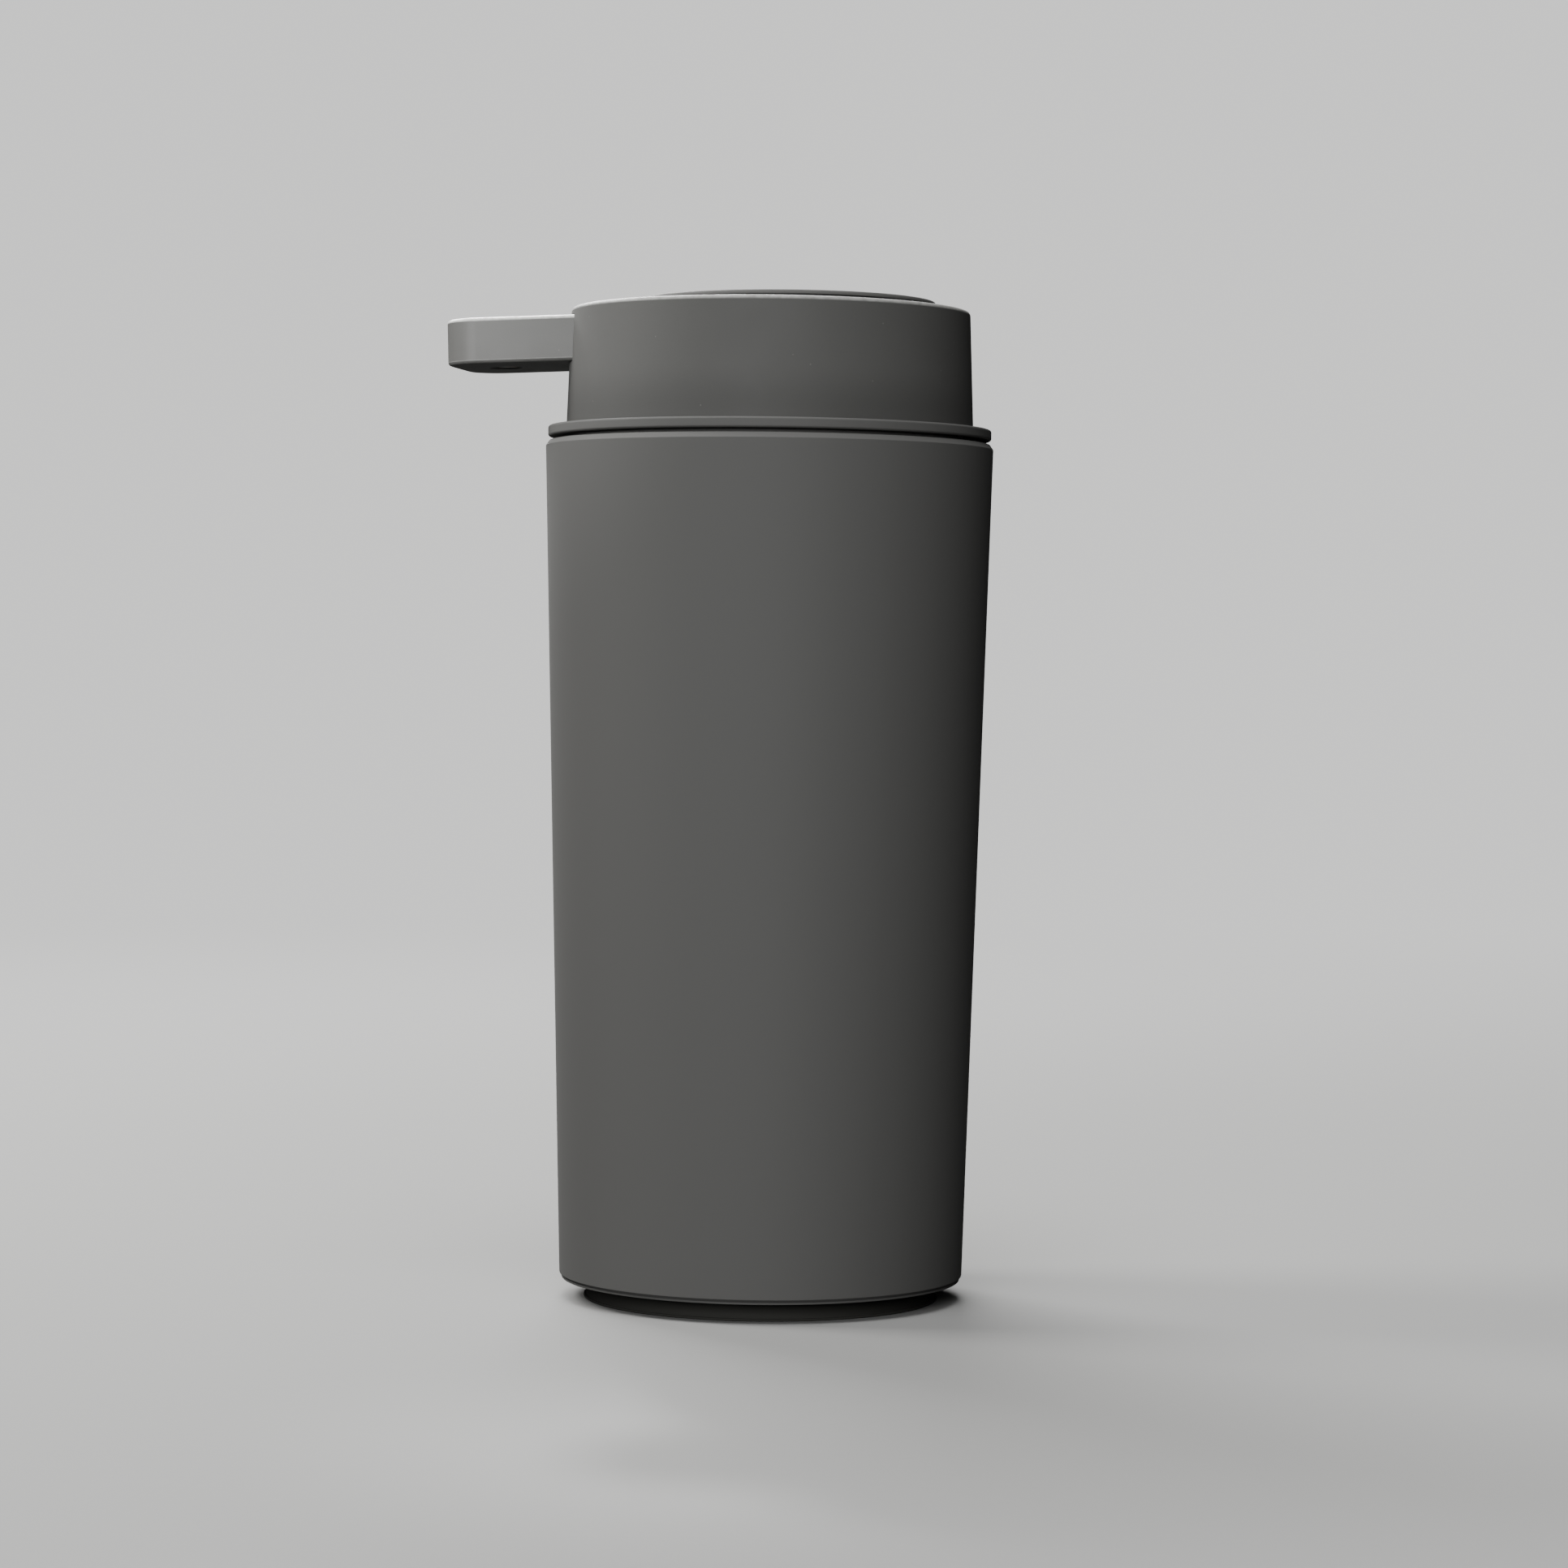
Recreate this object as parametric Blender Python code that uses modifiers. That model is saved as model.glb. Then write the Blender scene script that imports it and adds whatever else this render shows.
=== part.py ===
"""Soap pump dispenser: a tapered cup on a foot, a lift-out lid with a collar, and a telescoping pump head.

Metres, +Z up. The origin is on the dispenser's axis, on the underside of its foot, and the spout
points along -X. Every turned piece is drawn as (radius, height) points on the axis of the object.
"""

import math

import bmesh
import bpy
from mathutils import Matrix, Vector

MM = 0.001
OBJECT_NAME = "soap_pump_dispenser"

# Clearances between pieces
SEAT_GAP = 0.3 * MM        # between pieces that rest on or fit into each other
SLIDE_GAP = 0.3 * MM       # between a moving shaft or piston and its bore
SKIRT_GAP = 0.29 * MM      # between the head's skirt and the well it slides in
NECK_GAP = 0.27 * MM       # between the lid's neck and the inside of the cup
END_STOP_GAP = 1.0 * MM    # what is left under the head at the end of its stroke

# Cup and foot
CUP_RIM_RADIUS = 40.0 * MM
CUP_RIM_HEIGHT = 153.0 * MM
CUP_TAPER = 0.0261         # radius gained per unit of height
CUP_WALL = 1.8 * MM
CUP_FLOOR = 4.5 * MM
CUP_RIM_ROUND = 0.8 * MM
CUP_BASE_CHAMFER = 0.9 * MM
CUP_FLOOR_ROUND = 3.0 * MM
FOOT_HEIGHT = 3.2 * MM
FOOT_INSET = 4.4 * MM      # from the edge of the cup's base in to the edge of the foot
FOOT_EDGE_ROUND = 0.9 * MM
FOOT_SPIGOT_RADIUS = 12.0 * MM
FOOT_SPIGOT_HEIGHT = 1.8 * MM

# Lid
COLLAR_GAP = 0.7 * MM      # the shadow line between the rim and the collar
COLLAR_THICKNESS = 1.9 * MM
COLLAR_SETBACK = 0.4 * MM  # from the rim's radius in to the collar's
COLLAR_ROUND = 0.45 * MM
NECK_WALL = 0.7 * MM
WELL_FLOOR = 2.5 * MM
SEAL_CARRIER_HEIGHT = 4.5 * MM
SEAL_CARRIER_WALL = 3.0 * MM
SEAL_HEIGHT = 2.2 * MM
SEAL_GROOVE_DEPTH = 1.4 * MM
BOSS_HEIGHT = 4.0 * MM
BOSS_WALL = 1.7 * MM

# Head
STROKE = 10.0 * MM
HEAD_RISE = 21.0 * MM      # from the collar's top to the head's top
HEAD_TAPER = 0.036         # radius lost per unit of height
HEAD_WALL = 1.9 * MM
HEAD_ROOF = 2.4 * MM
HEAD_EDGE_ROUND = 1.0 * MM
SKIRT_OVERLAP = 3.1 * MM   # how far the skirt sits in the well at rest
DISC_MARGIN = 9.2 * MM     # how much smaller the top disc's radius is than the head's
DISC_OFFSET = 3.1 * MM     # from the head's axis away from the spout to the disc's axis
DISC_RECESS = 0.8 * MM
DISC_PROUD = 1.85 * MM
DISC_EDGE_ROUND = 0.5 * MM
INSERT_PLATE = 2.0 * MM
HUB_RADIUS = 7.0 * MM

# Spout
SPOUT_REACH = 57.6 * MM    # from the axis to the tip
SPOUT_THICKNESS = 8.15 * MM
SPOUT_WIDTH = 26.7 * MM
SPOUT_TIP_ROUND = 6.7 * MM
SPOUT_EDGE_ROUND = 0.6 * MM
SPOUT_TOP_DROP = 1.55 * MM # from the head's top down to the spout's
SPOUT_ROOT_INSET = 2.85 * MM    # how far the bar reaches in past the head's edge
SPOUT_DROOP = math.radians(1.75)
TENON_WIDTH = 20.0 * MM
TENON_STEP = 1.0 * MM
SPOUT_TUBE_RADIUS = 2.0 * MM
SPOUT_TUBE_WALL = 0.7 * MM
SPOUT_TUBE_SEAT = 2.0 * MM # how far the tube reaches into the hub
NOZZLE_RADIUS = 2.7 * MM
NOZZLE_BORE = 1.5 * MM
NOZZLE_SETBACK = 9.0 * MM  # from the tip to the nozzle's axis
NOZZLE_SEAT_RISE = 1.15 * MM    # how far the nozzle's hole runs up past the channel's axis

# Pump
PUMP_BORE = 6.4 * MM
HOUSING_WALL = 1.1 * MM
HOUSING_DEPTH = 34.4 * MM
HOUSING_FLANGE = 1.5 * MM
HOUSING_FLANGE_RADIUS = 11.0 * MM
GASKET_THICKNESS = 0.8 * MM
GUIDE_FLANGE = 1.5 * MM
GUIDE_RADIUS = 7.0 * MM
GUIDE_RISE = 3.3 * MM      # how far the guide stands above its flange
NUT_WALL = 2.2 * MM
NUT_ROOF = 1.7 * MM
NUT_EDGE_ROUND = 0.6 * MM
STEM_RADIUS = 3.5 * MM
STEM_BORE = 1.2 * MM
STEM_SHOULDER_STEP = 1.3 * MM   # how far the shoulder stands out from the stem
STEM_SHOULDER_HEIGHT = 1.2 * MM
STEM_FOOT_MARGIN = 0.8 * MM     # from the barrel's bore in to the stem's foot
STEM_FOOT_HEIGHT = 1.4 * MM
PISTON_HEIGHT = 4.0 * MM
PISTON_WAIST = 0.7 * MM
PISTON_LIP = 1.0 * MM
OUTLET_BALL_RADIUS = 1.7 * MM
OUTLET_CHAMBER_RADIUS = 2.2 * MM
OUTLET_CHAMBER_HEIGHT = 5.0 * MM
INLET_BALL_RADIUS = 2.5 * MM
INLET_CHAMBER_RADIUS = 3.3 * MM
INLET_CHAMBER_HEIGHT = 4.5 * MM
INLET_SEAT_RADIUS = 1.6 * MM
SEAT_CONE_HEIGHT = 1.5 * MM
SEAT_LAND = 2.0 * MM
RETAINER_THICKNESS = 1.0 * MM
RETAINER_HOLE = 1.8 * MM
DIP_TUBE_RADIUS = 3.2 * MM
DIP_TUBE_WALL = 0.9 * MM
DIP_SOCKET_DEPTH = 8.0 * MM
DIP_SOCKET_WALL = 1.5 * MM
DIP_TUBE_LIFT = 1.5 * MM   # from the cup's floor up to the tube's mouth
SPRING_SIDE_GAP = 1.35 * MM     # between the coil and the barrel's bore
SPRING_WIRE_RADIUS = 0.45 * MM
SPRING_TURNS = 7

# Facets
LARGE_SIDES = 48
SMALL_SIDES = 24
BALL_SIDES = 16
BALL_RINGS = 8
ARC_STEPS = 3
SPRING_POINTS_PER_TURN = 14
SMOOTH_ANGLE = math.radians(35.0)
WELD_DISTANCE = 0.000001
CUTTER_OVERSHOOT = 2.0 * MM

# Cup heights and radii
CUP_UNDERSIDE = FOOT_HEIGHT + SEAT_GAP
CUP_FLOOR_TOP = CUP_UNDERSIDE + CUP_FLOOR


def cup_radius(height):
    """The cup's outer radius at a height above the table."""
    return CUP_RIM_RADIUS - CUP_TAPER * (CUP_RIM_HEIGHT - height)


CUP_BASE_RADIUS = cup_radius(CUP_UNDERSIDE + CUP_BASE_CHAMFER)
FOOT_RADIUS = CUP_BASE_RADIUS - FOOT_INSET

# Lid heights and radii
COLLAR_BOTTOM = CUP_RIM_HEIGHT + COLLAR_GAP
COLLAR_TOP = COLLAR_BOTTOM + COLLAR_THICKNESS
COLLAR_RADIUS = CUP_RIM_RADIUS - COLLAR_SETBACK
SKIRT_BOTTOM = COLLAR_TOP - SKIRT_OVERLAP
WELL_FLOOR_TOP = SKIRT_BOTTOM - STROKE - END_STOP_GAP
WELL_FLOOR_BOTTOM = WELL_FLOOR_TOP - WELL_FLOOR
LID_BOTTOM = WELL_FLOOR_BOTTOM - SEAL_CARRIER_HEIGHT
NECK_RADIUS = cup_radius(LID_BOTTOM) - CUP_WALL - NECK_GAP
WELL_RADIUS = NECK_RADIUS - NECK_WALL
BOSS_INNER_RADIUS = HOUSING_FLANGE_RADIUS + SEAT_GAP
BOSS_RADIUS = BOSS_INNER_RADIUS + BOSS_WALL
HOUSING_RADIUS = PUMP_BORE + HOUSING_WALL
SEAL_BOTTOM = LID_BOTTOM + (SEAL_CARRIER_HEIGHT - SEAL_HEIGHT) / 2
SEAL_INNER_RADIUS = NECK_RADIUS - SEAL_GROOVE_DEPTH + SEAT_GAP
SEAL_RADIUS = cup_radius(SEAL_BOTTOM) - CUP_WALL - SEAT_GAP

# Pump heights, from the well's floor up
GASKET_BOTTOM = WELL_FLOOR_TOP + SEAT_GAP
FLANGE_BOTTOM = GASKET_BOTTOM + GASKET_THICKNESS + SEAT_GAP
FLANGE_TOP = FLANGE_BOTTOM + HOUSING_FLANGE
GUIDE_BOTTOM = FLANGE_TOP + SEAT_GAP
GUIDE_FLANGE_TOP = GUIDE_BOTTOM + GUIDE_FLANGE
GUIDE_TOP = GUIDE_FLANGE_TOP + GUIDE_RISE
NUT_BOTTOM = WELL_FLOOR_TOP + SEAT_GAP
NUT_INNER_RADIUS = BOSS_RADIUS + SEAT_GAP
NUT_ROOF_BOTTOM = GUIDE_FLANGE_TOP + SEAT_GAP
NUT_TOP = NUT_ROOF_BOTTOM + NUT_ROOF

# Pump sizes and heights, from the flange down
STEM_SHOULDER_RADIUS = STEM_RADIUS + STEM_SHOULDER_STEP
STEM_FOOT_RADIUS = PUMP_BORE - STEM_FOOT_MARGIN
SPRING_MEAN_RADIUS = PUMP_BORE - SPRING_SIDE_GAP - SPRING_WIRE_RADIUS
STEM_SHOULDER_TOP = GUIDE_BOTTOM - SEAT_GAP
STEM_SHOULDER_BOTTOM = STEM_SHOULDER_TOP - STEM_SHOULDER_HEIGHT
PISTON_TOP = STEM_SHOULDER_BOTTOM - SEAT_GAP
PISTON_BOTTOM = PISTON_TOP - PISTON_HEIGHT
STEM_FOOT_TOP = PISTON_BOTTOM - SEAT_GAP
STEM_BOTTOM = STEM_FOOT_TOP - STEM_FOOT_HEIGHT
HOUSING_STEP = FLANGE_TOP - HOUSING_DEPTH
INLET_CONE_TOP = HOUSING_STEP - INLET_CHAMBER_HEIGHT
INLET_CONE_BOTTOM = INLET_CONE_TOP - SEAT_CONE_HEIGHT
DIP_SOCKET_TOP = INLET_CONE_BOTTOM - SEAT_LAND
HOUSING_BOTTOM = DIP_SOCKET_TOP - DIP_SOCKET_DEPTH
DIP_SOCKET_RADIUS = DIP_TUBE_RADIUS + SEAT_GAP
RETAINER_BOTTOM = HOUSING_STEP + SEAT_GAP
RETAINER_TOP = RETAINER_BOTTOM + RETAINER_THICKNESS
DIP_TUBE_TOP = DIP_SOCKET_TOP - SEAT_GAP
DIP_TUBE_BOTTOM = CUP_FLOOR_TOP + DIP_TUBE_LIFT

# Head heights and radii
HEAD_TOP = COLLAR_TOP + HEAD_RISE
ROOF_BOTTOM = HEAD_TOP - HEAD_ROOF
SKIRT_RADIUS = WELL_RADIUS - SKIRT_GAP


def head_radius(height):
    """The head's outer radius at a height above the table."""
    return SKIRT_RADIUS - HEAD_TAPER * (height - SKIRT_BOTTOM)


DISC_RADIUS = head_radius(HEAD_TOP) - DISC_MARGIN
DISC_BOTTOM = HEAD_TOP - DISC_RECESS + SEAT_GAP
DISC_TOP = HEAD_TOP + DISC_PROUD
SPOUT_TOP = HEAD_TOP - SPOUT_TOP_DROP
SPOUT_BOTTOM = SPOUT_TOP - SPOUT_THICKNESS
CHANNEL_HEIGHT = (SPOUT_TOP + SPOUT_BOTTOM) / 2
CHANNEL_RADIUS = SPOUT_TUBE_RADIUS + SEAT_GAP
HUB_BOTTOM = GUIDE_TOP + STROKE + END_STOP_GAP
HUB_TOP = ROOF_BOTTOM - SEAT_GAP
PLATE_TOP = HUB_BOTTOM + INSERT_PLATE
PLATE_RADIUS = head_radius(PLATE_TOP) - HEAD_WALL - SEAT_GAP
STEM_TOP = CHANNEL_HEIGHT - CHANNEL_RADIUS - TENON_STEP
HUB_SOCKET_TOP = STEM_TOP + SEAT_GAP
HUB_SOCKET_RADIUS = STEM_RADIUS + SLIDE_GAP
HUB_PASSAGE_RADIUS = OUTLET_BALL_RADIUS - SEAT_GAP

# Spout places along X, as distances from the axis
SPOUT_HALF_WIDTH = SPOUT_WIDTH / 2
SPOUT_EXIT = math.sqrt(head_radius(SPOUT_TOP) ** 2 - SPOUT_HALF_WIDTH ** 2)
SPOUT_INNER_END = SPOUT_EXIT - SPOUT_ROOT_INSET
TENON_INNER_END = HUB_RADIUS + SEAT_GAP
TENON_TOP = ROOF_BOTTOM - SEAT_GAP
TENON_BOTTOM = SPOUT_BOTTOM + TENON_STEP
NOZZLE_X = SPOUT_REACH - NOZZLE_SETBACK
NOZZLE_SEAT_RADIUS = NOZZLE_RADIUS + SEAT_GAP
SPOUT_TUBE_OUTER_END = NOZZLE_X - NOZZLE_SEAT_RADIUS
SPOUT_TUBE_INNER_END = HUB_RADIUS - SPOUT_TUBE_SEAT


def seated_ball_height(cone_bottom, cone_top, bottom_radius, top_radius, ball_radius):
    """The height of a ball's centre when it hangs a seat gap above its cone."""
    rise = cone_top - cone_bottom
    run = top_radius - bottom_radius
    slant = math.hypot(rise, run)
    return cone_bottom + ((ball_radius + SEAT_GAP) * slant - bottom_radius * rise) / run


OUTLET_CONE_TOP = STEM_TOP - OUTLET_CHAMBER_HEIGHT
OUTLET_CONE_BOTTOM = OUTLET_CONE_TOP - SEAT_CONE_HEIGHT
OUTLET_BALL_HEIGHT = seated_ball_height(
    OUTLET_CONE_BOTTOM, OUTLET_CONE_TOP, STEM_BORE, OUTLET_CHAMBER_RADIUS, OUTLET_BALL_RADIUS)
INLET_BALL_HEIGHT = seated_ball_height(
    INLET_CONE_BOTTOM, INLET_CONE_TOP, INLET_SEAT_RADIUS, INLET_CHAMBER_RADIUS, INLET_BALL_RADIUS)

# Finishes: (colour, roughness, metallic)
FINISHES = {
    "soft_touch_grey": ((0.105, 0.105, 0.100, 1.0), 0.55, 0.0),
    "foot_rubber": ((0.030, 0.030, 0.029, 1.0), 0.45, 0.0),
    "seal_rubber": ((0.045, 0.045, 0.045, 1.0), 0.60, 0.0),
    "natural_plastic": ((0.78, 0.78, 0.75, 1.0), 0.35, 0.0),
    "clear_tube": ((0.70, 0.72, 0.72, 1.0), 0.20, 0.0),
    "spring_steel": ((0.62, 0.62, 0.60, 1.0), 0.28, 1.0),
}


# ---------------------------------------------------------------- scene helpers

def clear_scene():
    """Take every object out of the scene."""
    for obj in list(bpy.data.objects):
        bpy.data.objects.remove(obj, do_unlink=True)


def new_collection(name):
    """A collection linked to the scene."""
    collection = bpy.data.collections.new(name)
    bpy.context.scene.collection.children.link(collection)
    return collection


def new_finish(name):
    """The named finish as a Principled material."""
    colour, roughness, metallic = FINISHES[name]
    material = bpy.data.materials.new(name)
    material.use_nodes = True
    shader = material.node_tree.nodes["Principled BSDF"]
    shader.inputs["Base Color"].default_value = colour
    shader.inputs["Roughness"].default_value = roughness
    shader.inputs["Metallic"].default_value = metallic
    return material


def new_frame(name, height, parent=None):
    """An empty on the axis that carries one moving body."""
    frame = bpy.data.objects.new(name, None)
    PARTS.objects.link(frame)
    frame.empty_display_size = CUP_RIM_RADIUS
    frame.parent = parent
    frame.location.z = height - (parent["height"] if parent else 0.0)
    frame["height"] = height
    return frame


def add_part(name, mesh, frame, finish, height=0.0, x=0.0):
    """A part made from a mesh, standing at a height on its body's frame."""
    part = bpy.data.objects.new(name, mesh)
    PARTS.objects.link(part)
    part.parent = frame
    part.location = (x, 0.0, height - frame["height"])
    mesh.materials.append(MATERIALS[finish])
    return part


def mesh_from(body, name):
    """A mesh from a bmesh, shaded smooth with its hard edges kept."""
    mesh = bpy.data.meshes.new(name)
    body.to_mesh(mesh)
    body.free()
    mesh.shade_smooth()
    mesh.set_sharp_from_angle(angle=SMOOTH_ANGLE)
    return mesh


def bake(obj):
    """The object's finished mesh, welded; the object itself is removed."""
    depsgraph = bpy.context.evaluated_depsgraph_get()
    source = bpy.data.meshes.new_from_object(obj.evaluated_get(depsgraph))
    name = obj.name
    bpy.data.objects.remove(obj, do_unlink=True)
    body = bmesh.new()
    body.from_mesh(source)
    bmesh.ops.remove_doubles(body, verts=body.verts, dist=WELD_DISTANCE)
    bpy.data.meshes.remove(source)
    return mesh_from(body, name)


# ---------------------------------------------------------------- shape helpers

def corner_arc(before, corner, after, radius):
    """The points of an arc that rounds one corner of an outline."""
    towards_before = (before - corner).normalized()
    towards_after = (after - corner).normalized()
    half_angle = towards_before.angle(towards_after) / 2
    inward = (towards_before + towards_after).normalized()
    centre = corner + inward * (radius / math.sin(half_angle))
    start = corner + towards_before * (radius / math.tan(half_angle)) - centre
    end = corner + towards_after * (radius / math.tan(half_angle)) - centre
    turn = start.angle(end)
    points = []
    for step in range(ARC_STEPS + 1):
        share = step / ARC_STEPS
        weight_start = math.sin((1 - share) * turn) / math.sin(turn)
        weight_end = math.sin(share * turn) / math.sin(turn)
        points.append(centre + start * weight_start + end * weight_end)
    return points


def rounded(outline):
    """The outline as points, with an arc at each corner that gives a radius as its third value."""
    points = []
    for index, entry in enumerate(outline):
        corner = Vector(entry[:2])
        if len(entry) == 2:
            points.append(corner)
            continue
        before = Vector(outline[index - 1][:2])
        after = Vector(outline[(index + 1) % len(outline)][:2])
        points.extend(corner_arc(before, corner, after, entry[2]))
    return points


def turned(name, outline, base, sides):
    """A turned mesh. The outline runs down the outer side; its heights become heights above base."""
    mesh = bpy.data.meshes.new(name)
    body = bmesh.new()
    corners = [body.verts.new((point.x, 0.0, point.y - base)) for point in rounded(outline)]
    for first, second in zip(corners, corners[1:]):
        body.edges.new((first, second))
    meets_axis = outline[0][0] == 0.0 and outline[-1][0] == 0.0
    if not meets_axis:
        body.edges.new((corners[-1], corners[0]))
    body.to_mesh(mesh)
    body.free()
    blank = bpy.data.objects.new(name, mesh)
    PARTS.objects.link(blank)
    screw = blank.modifiers.new("Turn", "SCREW")
    screw.axis = "Z"
    screw.angle = math.tau
    screw.steps = sides
    screw.render_steps = sides
    screw.use_merge_vertices = True
    screw.merge_threshold = WELD_DISTANCE
    return bake(blank)


def box_mesh(name, low, high):
    """A box between two corners."""
    low = Vector(low)
    high = Vector(high)
    body = bmesh.new()
    bmesh.ops.create_cube(body, size=1.0)
    bmesh.ops.scale(body, vec=high - low, verts=body.verts)
    bmesh.ops.translate(body, vec=(low + high) / 2, verts=body.verts)
    return mesh_from(body, name)


def rod_mesh(name, radius, start, end, sides=SMALL_SIDES):
    """A cylinder between two points."""
    start = Vector(start)
    end = Vector(end)
    along = end - start
    turn = Vector((0.0, 0.0, 1.0)).rotation_difference(along).to_matrix().to_4x4()
    body = bmesh.new()
    bmesh.ops.create_cone(body, cap_ends=True, segments=sides, radius1=radius, radius2=radius,
                          depth=along.length, matrix=Matrix.Translation((start + end) / 2) @ turn)
    return mesh_from(body, name)


def apply_tool(part, mesh, operation="DIFFERENCE"):
    """Cut a part with a tool mesh drawn in world coordinates, or join the mesh to it."""
    tool = bpy.data.objects.new(mesh.name, mesh)
    TOOLS.objects.link(tool)
    tool.hide_render = True
    tool.display_type = "WIRE"
    modifier = part.modifiers.new(mesh.name, "BOOLEAN")
    modifier.operation = operation
    modifier.solver = "EXACT"
    modifier.object = tool


# ---------------------------------------------------------------- cup and foot

def make_cup(frame):
    """The tapered cup, with a socket for the foot's spigot in its underside."""
    socket_radius = FOOT_SPIGOT_RADIUS + SEAT_GAP
    socket_roof = CUP_UNDERSIDE + FOOT_SPIGOT_HEIGHT
    outline = [
        (0.0, CUP_FLOOR_TOP),
        (cup_radius(CUP_FLOOR_TOP) - CUP_WALL, CUP_FLOOR_TOP, CUP_FLOOR_ROUND),
        (CUP_RIM_RADIUS - CUP_WALL, CUP_RIM_HEIGHT),
        (CUP_RIM_RADIUS, CUP_RIM_HEIGHT, CUP_RIM_ROUND),
        (CUP_BASE_RADIUS, CUP_UNDERSIDE + CUP_BASE_CHAMFER),
        (CUP_BASE_RADIUS - CUP_BASE_CHAMFER, CUP_UNDERSIDE),
        (socket_radius, CUP_UNDERSIDE),
        (socket_radius, socket_roof),
        (0.0, socket_roof),
    ]
    mesh = turned("cup", outline, CUP_UNDERSIDE, LARGE_SIDES)
    return add_part("cup", mesh, frame, "soft_touch_grey", CUP_UNDERSIDE)


def make_foot(frame):
    """The round foot pad, which plugs into the cup's underside."""
    spigot_top = CUP_UNDERSIDE + FOOT_SPIGOT_HEIGHT - SEAT_GAP
    outline = [
        (0.0, spigot_top),
        (FOOT_SPIGOT_RADIUS, spigot_top),
        (FOOT_SPIGOT_RADIUS, FOOT_HEIGHT),
        (FOOT_RADIUS, FOOT_HEIGHT),
        (FOOT_RADIUS, 0.0, FOOT_EDGE_ROUND),
        (0.0, 0.0),
    ]
    mesh = turned("foot_pad", outline, 0.0, LARGE_SIDES)
    return add_part("foot_pad", mesh, frame, "foot_rubber")


# ---------------------------------------------------------------- lid

def make_lid(frame):
    """The lid: a collar, a neck around the head's well, a seal groove and a threaded boss."""
    groove_radius = NECK_RADIUS - SEAL_GROOVE_DEPTH
    groove_bottom = SEAL_BOTTOM - SEAT_GAP
    groove_top = SEAL_BOTTOM + SEAL_HEIGHT + SEAT_GAP
    carrier_inner = NECK_RADIUS - SEAL_CARRIER_WALL
    housing_hole = HOUSING_RADIUS + SEAT_GAP
    boss_top = WELL_FLOOR_TOP + BOSS_HEIGHT
    outline = [
        (COLLAR_RADIUS, COLLAR_TOP, COLLAR_ROUND),
        (COLLAR_RADIUS, COLLAR_BOTTOM, COLLAR_ROUND),
        (NECK_RADIUS, COLLAR_BOTTOM),
        (NECK_RADIUS, groove_top),
        (groove_radius, groove_top),
        (groove_radius, groove_bottom),
        (NECK_RADIUS, groove_bottom),
        (NECK_RADIUS, LID_BOTTOM),
        (carrier_inner, LID_BOTTOM),
        (carrier_inner, WELL_FLOOR_BOTTOM),
        (housing_hole, WELL_FLOOR_BOTTOM),
        (housing_hole, WELL_FLOOR_TOP),
        (BOSS_INNER_RADIUS, WELL_FLOOR_TOP),
        (BOSS_INNER_RADIUS, boss_top),
        (BOSS_RADIUS, boss_top),
        (BOSS_RADIUS, WELL_FLOOR_TOP),
        (WELL_RADIUS, WELL_FLOOR_TOP),
        (WELL_RADIUS, COLLAR_TOP),
    ]
    mesh = turned("lid_collar", outline, COLLAR_TOP, LARGE_SIDES)
    return add_part("lid_collar", mesh, frame, "soft_touch_grey", COLLAR_TOP)


def make_lid_seal(frame):
    """The ring that holds the lid in the cup, with two lips."""
    top = SEAL_BOTTOM + SEAL_HEIGHT
    middle = (SEAL_BOTTOM + top) / 2
    waist = (SEAL_RADIUS + NECK_RADIUS) / 2 - SEAT_GAP
    outline = [
        (waist, top),
        (SEAL_RADIUS, (top + middle) / 2),
        (waist, middle),
        (SEAL_RADIUS, (middle + SEAL_BOTTOM) / 2),
        (waist, SEAL_BOTTOM),
        (SEAL_INNER_RADIUS, SEAL_BOTTOM),
        (SEAL_INNER_RADIUS, top),
    ]
    mesh = turned("lid_seal", outline, SEAL_BOTTOM, LARGE_SIDES)
    return add_part("lid_seal", mesh, frame, "seal_rubber", SEAL_BOTTOM)


# ---------------------------------------------------------------- pump

def make_gasket(frame):
    """The flat washer under the housing's flange."""
    top = GASKET_BOTTOM + GASKET_THICKNESS
    inner = HOUSING_RADIUS + SEAT_GAP
    outline = [
        (HOUSING_FLANGE_RADIUS, top),
        (HOUSING_FLANGE_RADIUS, GASKET_BOTTOM),
        (inner, GASKET_BOTTOM),
        (inner, top),
    ]
    mesh = turned("pump_gasket", outline, GASKET_BOTTOM, SMALL_SIDES)
    return add_part("pump_gasket", mesh, frame, "seal_rubber", GASKET_BOTTOM)


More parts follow.
